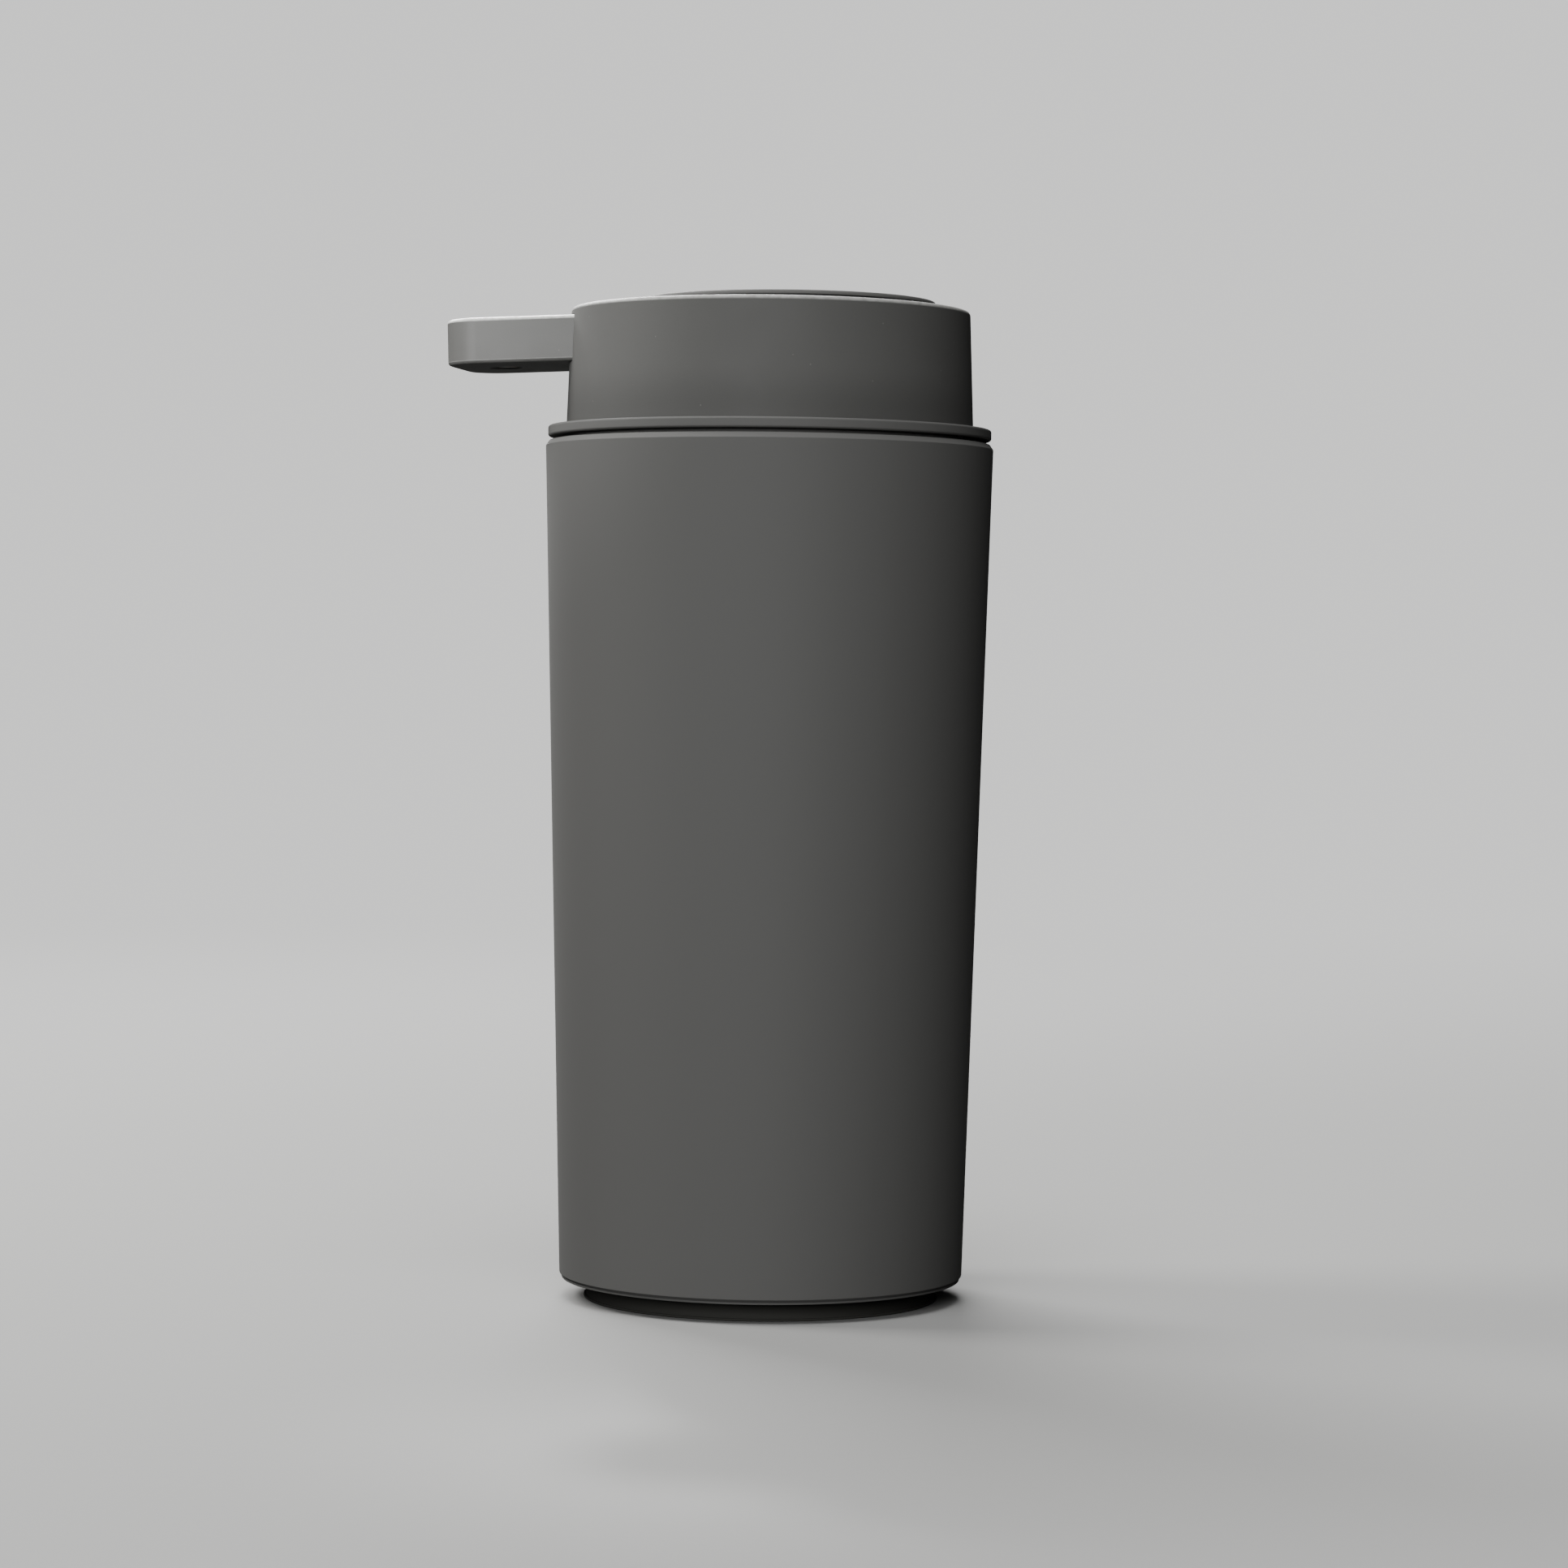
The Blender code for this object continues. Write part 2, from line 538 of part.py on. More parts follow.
def make_housing(frame):
    """The pump's barrel, with the inlet valve's chamber and the dip tube's socket below it."""
    chamber_outer = INLET_CHAMBER_RADIUS + HOUSING_WALL
    socket_outer = DIP_SOCKET_RADIUS + DIP_SOCKET_WALL
    tail_radius = max(chamber_outer, socket_outer)
    barrel_bottom = HOUSING_STEP - HOUSING_WALL
    outline = [
        (HOUSING_FLANGE_RADIUS, FLANGE_TOP),
        (HOUSING_FLANGE_RADIUS, FLANGE_BOTTOM),
        (HOUSING_RADIUS, FLANGE_BOTTOM),
        (HOUSING_RADIUS, barrel_bottom, HOUSING_WALL),
        (tail_radius, barrel_bottom),
        (tail_radius, HOUSING_BOTTOM),
        (DIP_SOCKET_RADIUS, HOUSING_BOTTOM),
        (DIP_SOCKET_RADIUS, DIP_SOCKET_TOP),
        (INLET_SEAT_RADIUS, DIP_SOCKET_TOP),
        (INLET_SEAT_RADIUS, INLET_CONE_BOTTOM),
        (INLET_CHAMBER_RADIUS, INLET_CONE_TOP),
        (INLET_CHAMBER_RADIUS, HOUSING_STEP),
        (PUMP_BORE, HOUSING_STEP),
        (PUMP_BORE, FLANGE_TOP),
    ]
    mesh = turned("pump_housing", outline, FLANGE_TOP, SMALL_SIDES)
    return add_part("pump_housing", mesh, frame, "natural_plastic", FLANGE_TOP)


def make_guide(frame):
    """The stem guide, which closes the barrel and centres the stem."""
    bore = STEM_RADIUS + SLIDE_GAP
    outline = [
        (GUIDE_RADIUS, GUIDE_TOP),
        (GUIDE_RADIUS, GUIDE_FLANGE_TOP),
        (HOUSING_FLANGE_RADIUS, GUIDE_FLANGE_TOP),
        (HOUSING_FLANGE_RADIUS, GUIDE_BOTTOM),
        (bore, GUIDE_BOTTOM),
        (bore, GUIDE_TOP),
    ]
    mesh = turned("stem_guide", outline, GUIDE_BOTTOM, SMALL_SIDES)
    return add_part("stem_guide", mesh, frame, "natural_plastic", GUIDE_BOTTOM)


def make_nut(frame):
    """The retaining nut, which holds guide, barrel and gasket down on the lid's boss."""
    outer = NUT_INNER_RADIUS + NUT_WALL
    hole = GUIDE_RADIUS + SEAT_GAP
    outline = [
        (outer, NUT_TOP, NUT_EDGE_ROUND),
        (outer, NUT_BOTTOM),
        (NUT_INNER_RADIUS, NUT_BOTTOM),
        (NUT_INNER_RADIUS, NUT_ROOF_BOTTOM),
        (hole, NUT_ROOF_BOTTOM),
        (hole, NUT_TOP),
    ]
    mesh = turned("retaining_nut", outline, NUT_BOTTOM, SMALL_SIDES)
    return add_part("retaining_nut", mesh, frame, "natural_plastic", NUT_BOTTOM)


def make_ball_retainer(frame):
    """The washer over the inlet ball, which is also the spring's seat."""
    outer = PUMP_BORE - SEAT_GAP
    outline = [
        (outer, RETAINER_TOP),
        (outer, RETAINER_BOTTOM),
        (RETAINER_HOLE, RETAINER_BOTTOM),
        (RETAINER_HOLE, RETAINER_TOP),
    ]
    mesh = turned("ball_retainer", outline, RETAINER_BOTTOM, SMALL_SIDES)
    return add_part("ball_retainer", mesh, frame, "natural_plastic", RETAINER_BOTTOM)


def make_dip_tube(frame):
    """The tube from the barrel down to the cup's floor."""
    inner = DIP_TUBE_RADIUS - DIP_TUBE_WALL
    outline = [
        (DIP_TUBE_RADIUS, DIP_TUBE_TOP),
        (DIP_TUBE_RADIUS, DIP_TUBE_BOTTOM),
        (inner, DIP_TUBE_BOTTOM),
        (inner, DIP_TUBE_TOP),
    ]
    mesh = turned("dip_tube", outline, DIP_TUBE_TOP, SMALL_SIDES)
    return add_part("dip_tube", mesh, frame, "clear_tube", DIP_TUBE_TOP)


def make_stem(frame):
    """The hollow stem, with the outlet valve's chamber at its top and the piston's seat at its foot."""
    outline = [
        (STEM_RADIUS, STEM_TOP),
        (STEM_RADIUS, STEM_SHOULDER_TOP),
        (STEM_SHOULDER_RADIUS, STEM_SHOULDER_TOP),
        (STEM_SHOULDER_RADIUS, STEM_SHOULDER_BOTTOM),
        (STEM_RADIUS, STEM_SHOULDER_BOTTOM),
        (STEM_RADIUS, STEM_FOOT_TOP),
        (STEM_FOOT_RADIUS, STEM_FOOT_TOP),
        (STEM_FOOT_RADIUS, STEM_BOTTOM),
        (STEM_BORE, STEM_BOTTOM),
        (STEM_BORE, OUTLET_CONE_BOTTOM),
        (OUTLET_CHAMBER_RADIUS, OUTLET_CONE_TOP),
        (OUTLET_CHAMBER_RADIUS, STEM_TOP),
    ]
    mesh = turned("pump_stem", outline, STEM_BOTTOM, SMALL_SIDES)
    return add_part("pump_stem", mesh, frame, "natural_plastic", STEM_BOTTOM)


def make_piston(frame):
    """The piston ring, with a wiping lip at each end."""
    outer = PUMP_BORE - SLIDE_GAP
    inner = STEM_RADIUS + SEAT_GAP
    waist = outer - PISTON_WAIST
    outline = [
        (outer, PISTON_TOP),
        (waist, PISTON_TOP - PISTON_LIP),
        (waist, PISTON_BOTTOM + PISTON_LIP),
        (outer, PISTON_BOTTOM),
        (inner, PISTON_BOTTOM),
        (inner, PISTON_TOP),
    ]
    mesh = turned("piston", outline, PISTON_BOTTOM, SMALL_SIDES)
    return add_part("piston", mesh, frame, "seal_rubber", PISTON_BOTTOM)


def make_spring(frame):
    """The return spring between the ball retainer and the stem's foot."""
    low = RETAINER_TOP + SEAT_GAP + SPRING_WIRE_RADIUS
    high = STEM_BOTTOM - SEAT_GAP - SPRING_WIRE_RADIUS
    curve = bpy.data.curves.new("return_spring", "CURVE")
    curve.dimensions = "3D"
    curve.bevel_depth = SPRING_WIRE_RADIUS
    curve.bevel_resolution = 2
    curve.use_fill_caps = True
    wire = curve.splines.new("POLY")
    last = SPRING_TURNS * SPRING_POINTS_PER_TURN
    wire.points.add(last)
    for index, point in enumerate(wire.points):
        angle = math.tau * index / SPRING_POINTS_PER_TURN
        x = SPRING_MEAN_RADIUS * math.cos(angle)
        y = SPRING_MEAN_RADIUS * math.sin(angle)
        z = (high - low) * index / last
        point.co = (x, y, z, 1.0)
    coil = bpy.data.objects.new("return_spring", curve)
    PARTS.objects.link(coil)
    mesh = bake(coil)
    return add_part("return_spring", mesh, frame, "spring_steel", low)


def make_ball(name, radius, height, frame):
    """A steel valve ball with its origin at its centre."""
    body = bmesh.new()
    bmesh.ops.create_uvsphere(body, u_segments=BALL_SIDES, v_segments=BALL_RINGS, radius=radius)
    mesh = mesh_from(body, name)
    return add_part(name, mesh, frame, "spring_steel", height)


# ---------------------------------------------------------------- head

def make_press_cap(frame):
    """The head's shell: a skirt and a roof, recessed for the disc and open where the spout comes out."""
    skirt_inner = head_radius(SKIRT_BOTTOM) - HEAD_WALL
    roof_inner = head_radius(ROOF_BOTTOM) - HEAD_WALL
    outline = [
        (0.0, HEAD_TOP),
        (head_radius(HEAD_TOP), HEAD_TOP, HEAD_EDGE_ROUND),
        (head_radius(SKIRT_BOTTOM), SKIRT_BOTTOM),
        (skirt_inner, SKIRT_BOTTOM),
        (roof_inner, ROOF_BOTTOM),
        (0.0, ROOF_BOTTOM),
    ]
    mesh = turned("press_cap", outline, SKIRT_BOTTOM, LARGE_SIDES)
    cap = add_part("press_cap", mesh, frame, "soft_touch_grey", SKIRT_BOTTOM)
    recess_floor = (DISC_OFFSET, 0.0, HEAD_TOP - DISC_RECESS)
    recess_mouth = (DISC_OFFSET, 0.0, HEAD_TOP + CUTTER_OVERSHOOT)
    recess_radius = DISC_RADIUS + SEAT_GAP
    apply_tool(cap, rod_mesh("disc_recess", recess_radius, recess_floor, recess_mouth, LARGE_SIDES))
    half_width = SPOUT_HALF_WIDTH + SEAT_GAP
    window_low = (-SKIRT_RADIUS - CUTTER_OVERSHOOT, -half_width, SPOUT_BOTTOM - SEAT_GAP)
    window_high = (-SPOUT_INNER_END + SEAT_GAP, half_width, SPOUT_TOP + SEAT_GAP)
    apply_tool(cap, box_mesh("spout_window", window_low, window_high))
    return cap


def make_top_disc(frame):
    """The raised disc in the head's roof that the hand presses, set back from the spout."""
    outline = [
        (0.0, DISC_TOP),
        (DISC_RADIUS, DISC_TOP, DISC_EDGE_ROUND),
        (DISC_RADIUS, DISC_BOTTOM),
        (0.0, DISC_BOTTOM),
    ]
    mesh = turned("top_disc", outline, DISC_BOTTOM, LARGE_SIDES)
    return add_part("top_disc", mesh, frame, "soft_touch_grey", DISC_BOTTOM, DISC_OFFSET)


def make_head_insert(frame):
    """The plate and hub inside the head: the hub takes the stem below and the spout's tube at its side."""
    outline = [
        (0.0, HUB_TOP),
        (HUB_RADIUS, HUB_TOP),
        (HUB_RADIUS, PLATE_TOP),
        (PLATE_RADIUS, PLATE_TOP),
        (PLATE_RADIUS, HUB_BOTTOM),
        (HUB_SOCKET_RADIUS, HUB_BOTTOM),
        (HUB_SOCKET_RADIUS, HUB_SOCKET_TOP),
        (HUB_PASSAGE_RADIUS, HUB_SOCKET_TOP),
        (HUB_PASSAGE_RADIUS, CHANNEL_HEIGHT),
        (0.0, CHANNEL_HEIGHT),
    ]
    mesh = turned("head_insert", outline, HUB_BOTTOM, SMALL_SIDES)
    insert = add_part("head_insert", mesh, frame, "natural_plastic", HUB_BOTTOM)
    mouth = (-HUB_RADIUS - CUTTER_OVERSHOOT, 0.0, CHANNEL_HEIGHT)
    end = (0.0, 0.0, CHANNEL_HEIGHT)
    apply_tool(insert, rod_mesh("hub_port", CHANNEL_RADIUS, mouth, end))
    return insert


def make_spout(frame):
    """The flat spout: a straight bar with round corners, and a tenon that reaches the hub."""
    outline = rounded([
        (SPOUT_INNER_END, -SPOUT_HALF_WIDTH),
        (SPOUT_REACH, -SPOUT_HALF_WIDTH, SPOUT_TIP_ROUND),
        (SPOUT_REACH, SPOUT_HALF_WIDTH, SPOUT_TIP_ROUND),
        (SPOUT_INNER_END, SPOUT_HALF_WIDTH),
    ])
    curve = bpy.data.curves.new("spout", "CURVE")
    curve.dimensions = "2D"
    curve.fill_mode = "BOTH"
    curve.extrude = SPOUT_THICKNESS / 2
    edge = curve.splines.new("POLY")
    edge.points.add(len(outline) - 1)
    edge.use_cyclic_u = True
    for point, corner in zip(edge.points, outline):
        point.co = (SPOUT_EXIT - corner.x, corner.y, 0.0, 1.0)
    blank = bpy.data.objects.new("spout", curve)
    PARTS.objects.link(blank)
    spout = add_part("spout", bake(blank), frame, "soft_touch_grey", CHANNEL_HEIGHT, -SPOUT_EXIT)
    spout.rotation_euler.y = -SPOUT_DROOP
    bevel = spout.modifiers.new("Edges", "BEVEL")
    bevel.width = SPOUT_EDGE_ROUND
    bevel.segments = 2
    bevel.limit_method = "ANGLE"
    bevel.angle_limit = SMOOTH_ANGLE
    tenon_low = (-SPOUT_INNER_END - HEAD_WALL, -TENON_WIDTH / 2, TENON_BOTTOM)
    tenon_high = (-TENON_INNER_END, TENON_WIDTH / 2, TENON_TOP)
    apply_tool(spout, box_mesh("spout_tenon", tenon_low, tenon_high), "UNION")
    channel_start = (CUTTER_OVERSHOOT - TENON_INNER_END, 0.0, CHANNEL_HEIGHT)
    channel_end = (-NOZZLE_X, 0.0, CHANNEL_HEIGHT)
    apply_tool(spout, rod_mesh("spout_channel", CHANNEL_RADIUS, channel_start, channel_end))
    mouth = (-NOZZLE_X, 0.0, SPOUT_BOTTOM - CUTTER_OVERSHOOT)
    seat_roof = (-NOZZLE_X, 0.0, CHANNEL_HEIGHT + NOZZLE_SEAT_RISE)
    apply_tool(spout, rod_mesh("nozzle_seat", NOZZLE_SEAT_RADIUS, mouth, seat_roof))
    return spout


def make_spout_tube(frame):
    """The tube that carries the soap from the hub out along the spout."""
    inner_end = (-SPOUT_TUBE_INNER_END, 0.0, 0.0)
    outer_end = (-SPOUT_TUBE_OUTER_END, 0.0, 0.0)
    mesh = rod_mesh("spout_tube", SPOUT_TUBE_RADIUS, inner_end, outer_end)
    tube = add_part("spout_tube", mesh, frame, "natural_plastic", CHANNEL_HEIGHT)
    bore_start = (CUTTER_OVERSHOOT - SPOUT_TUBE_INNER_END, 0.0, CHANNEL_HEIGHT)
    bore_end = (-SPOUT_TUBE_OUTER_END - CUTTER_OVERSHOOT, 0.0, CHANNEL_HEIGHT)
    apply_tool(tube, rod_mesh("tube_bore", SPOUT_TUBE_RADIUS - SPOUT_TUBE_WALL, bore_start, bore_end))
    return tube


def make_nozzle(frame):
    """The bush in the spout's underside that the soap leaves by."""
    droop = (NOZZLE_X - SPOUT_EXIT) * math.tan(SPOUT_DROOP)
    bottom = SPOUT_BOTTOM - droop + SEAT_GAP
    top = CHANNEL_HEIGHT - CHANNEL_RADIUS - SEAT_GAP
    outline = [
        (NOZZLE_RADIUS, top),
        (NOZZLE_RADIUS, bottom),
        (NOZZLE_BORE, bottom),
        (NOZZLE_BORE, top),
    ]
    mesh = turned("nozzle_tip", outline, bottom, SMALL_SIDES)
    return add_part("nozzle_tip", mesh, frame, "natural_plastic", bottom, -NOZZLE_X)


# ---------------------------------------------------------------- assembly

def build():
    """Make every piece on the frame of the body that it moves with."""
    base = new_frame("base_frame", 0.0)
    make_cup(base)
    make_foot(base)

    lid = new_frame("lid_frame", COLLAR_TOP, base)
    make_lid(lid)
    make_lid_seal(lid)
    make_gasket(lid)
    make_housing(lid)
    make_guide(lid)
    make_nut(lid)
    make_ball_retainer(lid)
    make_dip_tube(lid)
    make_spring(lid)
    make_ball("inlet_ball", INLET_BALL_RADIUS, INLET_BALL_HEIGHT, lid)

    plunger = new_frame("plunger_frame", STEM_BOTTOM, lid)
    make_stem(plunger)
    make_piston(plunger)
    make_ball("outlet_ball", OUTLET_BALL_RADIUS, OUTLET_BALL_HEIGHT, plunger)

    head = new_frame("head_frame", SKIRT_BOTTOM, plunger)
    make_press_cap(head)
    make_top_disc(head)
    make_head_insert(head)
    make_spout(head)
    make_spout_tube(head)
    make_nozzle(head)


clear_scene()
PARTS = new_collection(OBJECT_NAME)
TOOLS = new_collection("cutters")
MATERIALS = {name: new_finish(name) for name in FINISHES}
build()
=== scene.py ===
"""Soap pump dispenser: the finished look of every piece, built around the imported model.

Each operator makes one piece, or one group of like pieces, and its materials. All lengths are in
metres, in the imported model's own frame: +Z up, the dispenser's axis on Z, the spout along -X.
"""
import math

import bmesh
import bpy
from bpy.props import FloatProperty, FloatVectorProperty, IntProperty, PointerProperty
from mathutils import Matrix, Vector


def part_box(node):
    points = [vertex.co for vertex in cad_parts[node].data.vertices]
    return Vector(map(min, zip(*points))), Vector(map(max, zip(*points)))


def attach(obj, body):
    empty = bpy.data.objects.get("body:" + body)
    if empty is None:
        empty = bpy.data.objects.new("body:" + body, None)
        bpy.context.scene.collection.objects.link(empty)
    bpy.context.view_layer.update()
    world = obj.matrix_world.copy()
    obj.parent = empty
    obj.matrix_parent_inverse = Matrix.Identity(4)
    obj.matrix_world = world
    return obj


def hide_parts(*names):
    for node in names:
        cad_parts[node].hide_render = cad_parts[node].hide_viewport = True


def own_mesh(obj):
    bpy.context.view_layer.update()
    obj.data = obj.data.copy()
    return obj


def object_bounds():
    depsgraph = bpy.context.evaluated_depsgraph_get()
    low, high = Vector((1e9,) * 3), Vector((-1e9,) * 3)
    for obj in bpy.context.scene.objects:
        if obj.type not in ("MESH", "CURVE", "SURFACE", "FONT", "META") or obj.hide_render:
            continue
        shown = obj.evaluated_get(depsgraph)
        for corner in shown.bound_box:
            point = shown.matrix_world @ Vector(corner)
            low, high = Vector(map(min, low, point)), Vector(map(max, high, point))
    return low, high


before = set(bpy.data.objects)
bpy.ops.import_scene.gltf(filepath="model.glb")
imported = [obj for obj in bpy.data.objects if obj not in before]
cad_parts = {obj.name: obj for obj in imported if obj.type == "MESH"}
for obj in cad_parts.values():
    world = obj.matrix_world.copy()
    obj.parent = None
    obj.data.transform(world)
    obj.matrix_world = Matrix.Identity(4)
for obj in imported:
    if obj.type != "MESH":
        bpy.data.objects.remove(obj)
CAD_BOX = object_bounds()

bl_info = {
    "name": "Soap Pump Dispenser",
    "version": (1, 0, 0),
    "blender": (4, 5, 0),
    "location": "View3D > Sidebar > Dispenser",
    "description": "Builds a soap pump dispenser piece by piece, with its finishes and its studio",
    "category": "Add Mesh",
}

MM = 0.001
WELD_DISTANCE = 0.000001
FLAT_BEND = 150.0          # surfaces that turn less than this, in radians per metre, are neither worn nor lightened as a painted highlight
EDGE_BEND = 1200.0         # edges that turn this much more are fully worn and fully lightened as a painted highlight
FLUTE_FACETS = 6           # facets around the nut for each flute
PIT_SCALE = 0.31           # of the grain's scale
PIT_SHARE = 0.6            # of the height that the grain gives
SMEAR_SCALE = 2.7          # of the patches' scale
GRAIN_SHARE = 0.45         # of the uneven tone; the patches give the rest
WORN_GLOSS = 0.18          # roughness that a fully worn edge loses
WORN_HIGHLIGHT_LIFT = 0.4            # added to the noise that breaks up the worn edges and their painted highlight
SPECK_RADIUS = 0.10        # of the distance between specks
SPECK_RARITY = 0.93        # the share of places that have no speck
METAL_ROUND_SCALE = 120.0  # lines per metre round the metal, where they hardly vary
METAL_GLOSS_SPREAD = 0.14  # how far the lines change the metal's roughness
STAIN_TONE = 0.82          # the metal's darkest stain, of its full tone
HEAD_MATT = 0.14           # roughness that the press head has above the other outer pieces
PISTON_HOLLOW = 0.7        # how deep the piston's ends are hollowed, of its lip
FLOOR_SIDES = 96           # corners of the floor
SPOT_RADIUS = 0.03         # radius of the spot lights, in metres

# The large soft lights as the camera sees them: place, width, height and tint.
SOFTBOXES = {
    "front": ((-0.28, -1.52, 0.50), 0.70, 0.60, (1.0, 1.0, 1.0)),
    "key": ((-0.56, 0.08, 0.58), 0.25, 0.30, (1.0, 0.99, 0.97)),
    "top": ((-0.10, -0.65, 1.75), 0.90, 0.90, (1.0, 1.0, 1.0)),
    "back": ((-0.35, 1.10, 0.95), 1.00, 0.60, (1.0, 1.0, 1.0)),
}

# The spout's spot lights, from the spout to the light.
SPOTS = {
    "accent": (-0.36, -0.47, 0.10),
    "edge": (-0.08, 0.40, 0.40),
}
ARC_STEP = math.radians(12.0)
SHARP_ANGLE = math.radians(40.0)


def low(node):
    """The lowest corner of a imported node."""
    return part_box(node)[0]


def high(node):
    """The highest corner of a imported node."""
    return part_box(node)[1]


def size(name, default, text):
    """A length property."""
    return FloatProperty(name=name, description=text, default=default, unit="LENGTH", precision=5)


def colour(name, default, text):
    """A colour property."""
    return FloatVectorProperty(name=name, description=text, default=default, size=4, min=0.0,
                               max=1.0, subtype="COLOR")


def number(name, default, text):
    """A plain number."""
    return FloatProperty(name=name, description=text, default=default, precision=5)


def angle(name, default, text):
    """An angle property."""
    return FloatProperty(name=name, description=text, default=default, subtype="ANGLE",
                         precision=5)


def count(name, default, text):
    """A whole number of at least 3."""
    return IntProperty(name=name, description=text, default=default, min=3)


def share(name, default, text):
    """A plain number between 0 and 1."""
    return FloatProperty(name=name, description=text, default=default, min=0.0, max=1.0,
                         subtype="FACTOR")


# ---------------------------------------------------------------- settings

class CupSettings(bpy.types.PropertyGroup):
    """Sizes of the cup and its foot."""
    wall: size("Wall", 1.8 * MM, "Thickness of the cup's wall")
    floor: size("Floor", 4.5 * MM, "Thickness of the cup's floor")
    floor_round: size("Floor round", 3.0 * MM, "Radius between floor and wall inside the cup")
    taper: number("Taper", 0.0261, "Radius gained per unit of height")
    rim_band: size("Rim band", 0.92 * MM, "Height of the sloping band at the rim")
    rim_lean: size("Rim lean", 0.62 * MM, "How far the band slopes in towards its top")
    rim_round: size("Rim round", 0.24 * MM, "Radius of the band's edges")
    # The rim wear also lightens the band as a painted highlight.
    rim_wear_highlight: share("Rim wear", 0.42, "How worn the sloping band is")
    base_band: size("Base band", 0.85 * MM, "Height of the set-back band above the underside")
    base_step: size("Base step", 0.42 * MM, "How far the base band steps in from the wall")
    base_slope: size("Base slope", 0.50 * MM, "Height of the slope under the wall's lower edge")
    base_round: size("Base round", 0.14 * MM, "Radius of the wall's lower edge")
    foot_lip: size("Foot lip", 0.45 * MM, "Height of the thin lip around the foot's underside")
    foot_round: size("Foot round", 0.20 * MM, "Radius of the lip's edges")
    spigot_radius: size("Spigot radius", 12.0 * MM, "Radius of the foot's spigot")
    gap: size("Gap", 0.3 * MM, "Gap between the spigot and its socket")
    sides: count("Sides", 192, "Facets around the large pieces")


class LidSettings(bpy.types.PropertyGroup):
    """Sizes of the lid."""
    collar_height: size("Collar height", 1.9 * MM, "Height of the collar's ring")
    collar_round: size("Collar round", 0.42 * MM, "Radius of the collar's outer edges")
    neck_wall: size("Neck wall", 0.7 * MM, "Wall between the head's well and the cup")
    mouth_round: size("Mouth round", 0.22 * MM, "Radius of the edge that the head slides past")
    floor: size("Well floor", 2.5 * MM, "Thickness of the well's floor")
    carrier_wall: size("Carrier wall", 3.0 * MM, "Wall of the ring that carries the seal")
    groove_depth: size("Groove depth", 1.4 * MM, "Depth of the seal's groove")
    boss_height: size("Boss height", 4.0 * MM, "Height of the ring that the nut screws onto")
    boss_wall: size("Boss wall", 1.7 * MM, "Wall of that ring")
    thread_depth: size("Thread depth", 0.18 * MM, "Height of the ring's thread ridges")
    thread_count: count("Thread ridges", 3, "Ridges around the ring")
    thread_foot: share("Thread foot", 0.3, "Half the width of a ridge's foot, of the pitch")
    gap: size("Gap", 0.3 * MM, "Gap to the pieces that fit into the lid")


class HeadSettings(bpy.types.PropertyGroup):
    """Sizes of the press head."""
    taper: number("Taper", 0.036, "Radius lost per unit of height")
    wall: size("Wall", 1.9 * MM, "Thickness of the head's skirt")
    roof: size("Roof", 2.4 * MM, "Thickness of the head's roof")
    edge_round: size("Edge round", 0.75 * MM, "Radius of the head's top edge")
    recess: size("Recess", 0.8 * MM, "Depth of the top disc's recess")
    disc_gap: size("Disc gap", 0.3 * MM, "Gap around the top disc")
    disc_round: size("Disc round", 0.50 * MM, "Radius of the top disc's edge")
    disc_drop: size("Disc drop", 0.18 * MM, "How far the disc sits below its highest place")
    disc_plate: size("Disc plate", 0.78 * MM, "Height of the disc's overhanging plate")
    disc_undercut: size("Disc undercut", 0.8 * MM, "How far the plate overhangs the disc's neck")
    hub_radius: size("Hub radius", 7.0 * MM, "Radius of the hub that takes the stem")
    plate: size("Plate", 2.0 * MM, "Thickness of the plate around the hub")
    rib_count: count("Ribs", 8, "Ribs between hub and plate")
    rib_root: share("Rib root", 0.9, "Where the ribs start, of the hub's radius")
    rib_reach: share("Rib reach", 0.62, "Where the ribs end, of the plate's radius")
    # Painted shade: the head's colour is darkened towards the collar, standing in for a soft
    # shadow.
    dark_low: share("Dark low", 0.20, "Up to here the head is darkest, of its height")
    dark_high: share("Dark high", 0.55, "From here the head has its full tone, of its height")
    dark_tone: share("Dark tone", 0.78, "The darkest tone, of the full tone")


class SpoutSettings(bpy.types.PropertyGroup):
    """Sizes of the spout, its tube and its nozzle."""
    reach: size("Reach", 57.5 * MM, "From the axis to the tip")
    thickness: size("Thickness", 8.15 * MM, "Thickness of the bar")
    width: size("Width", 26.7 * MM, "Width of the bar")
    tip_round: size("Tip round", 6.7 * MM, "Radius of the tip's corners, seen from above")
    edge_round: size("Edge round", 0.65 * MM, "Radius of the bar's long edges")
    droop: angle("Droop", math.radians(1.75), "How far the bar points down")
    tenon_width: size("Tenon width", 20.0 * MM, "Width of the tongue inside the head")
    tube_wall: size("Tube wall", 0.7 * MM, "Wall of the tube inside the bar")
    nozzle_bore: size("Nozzle bore", 1.5 * MM, "Radius of the outlet")
    gap: size("Gap", 0.3 * MM, "Gap around the tube and the nozzle")


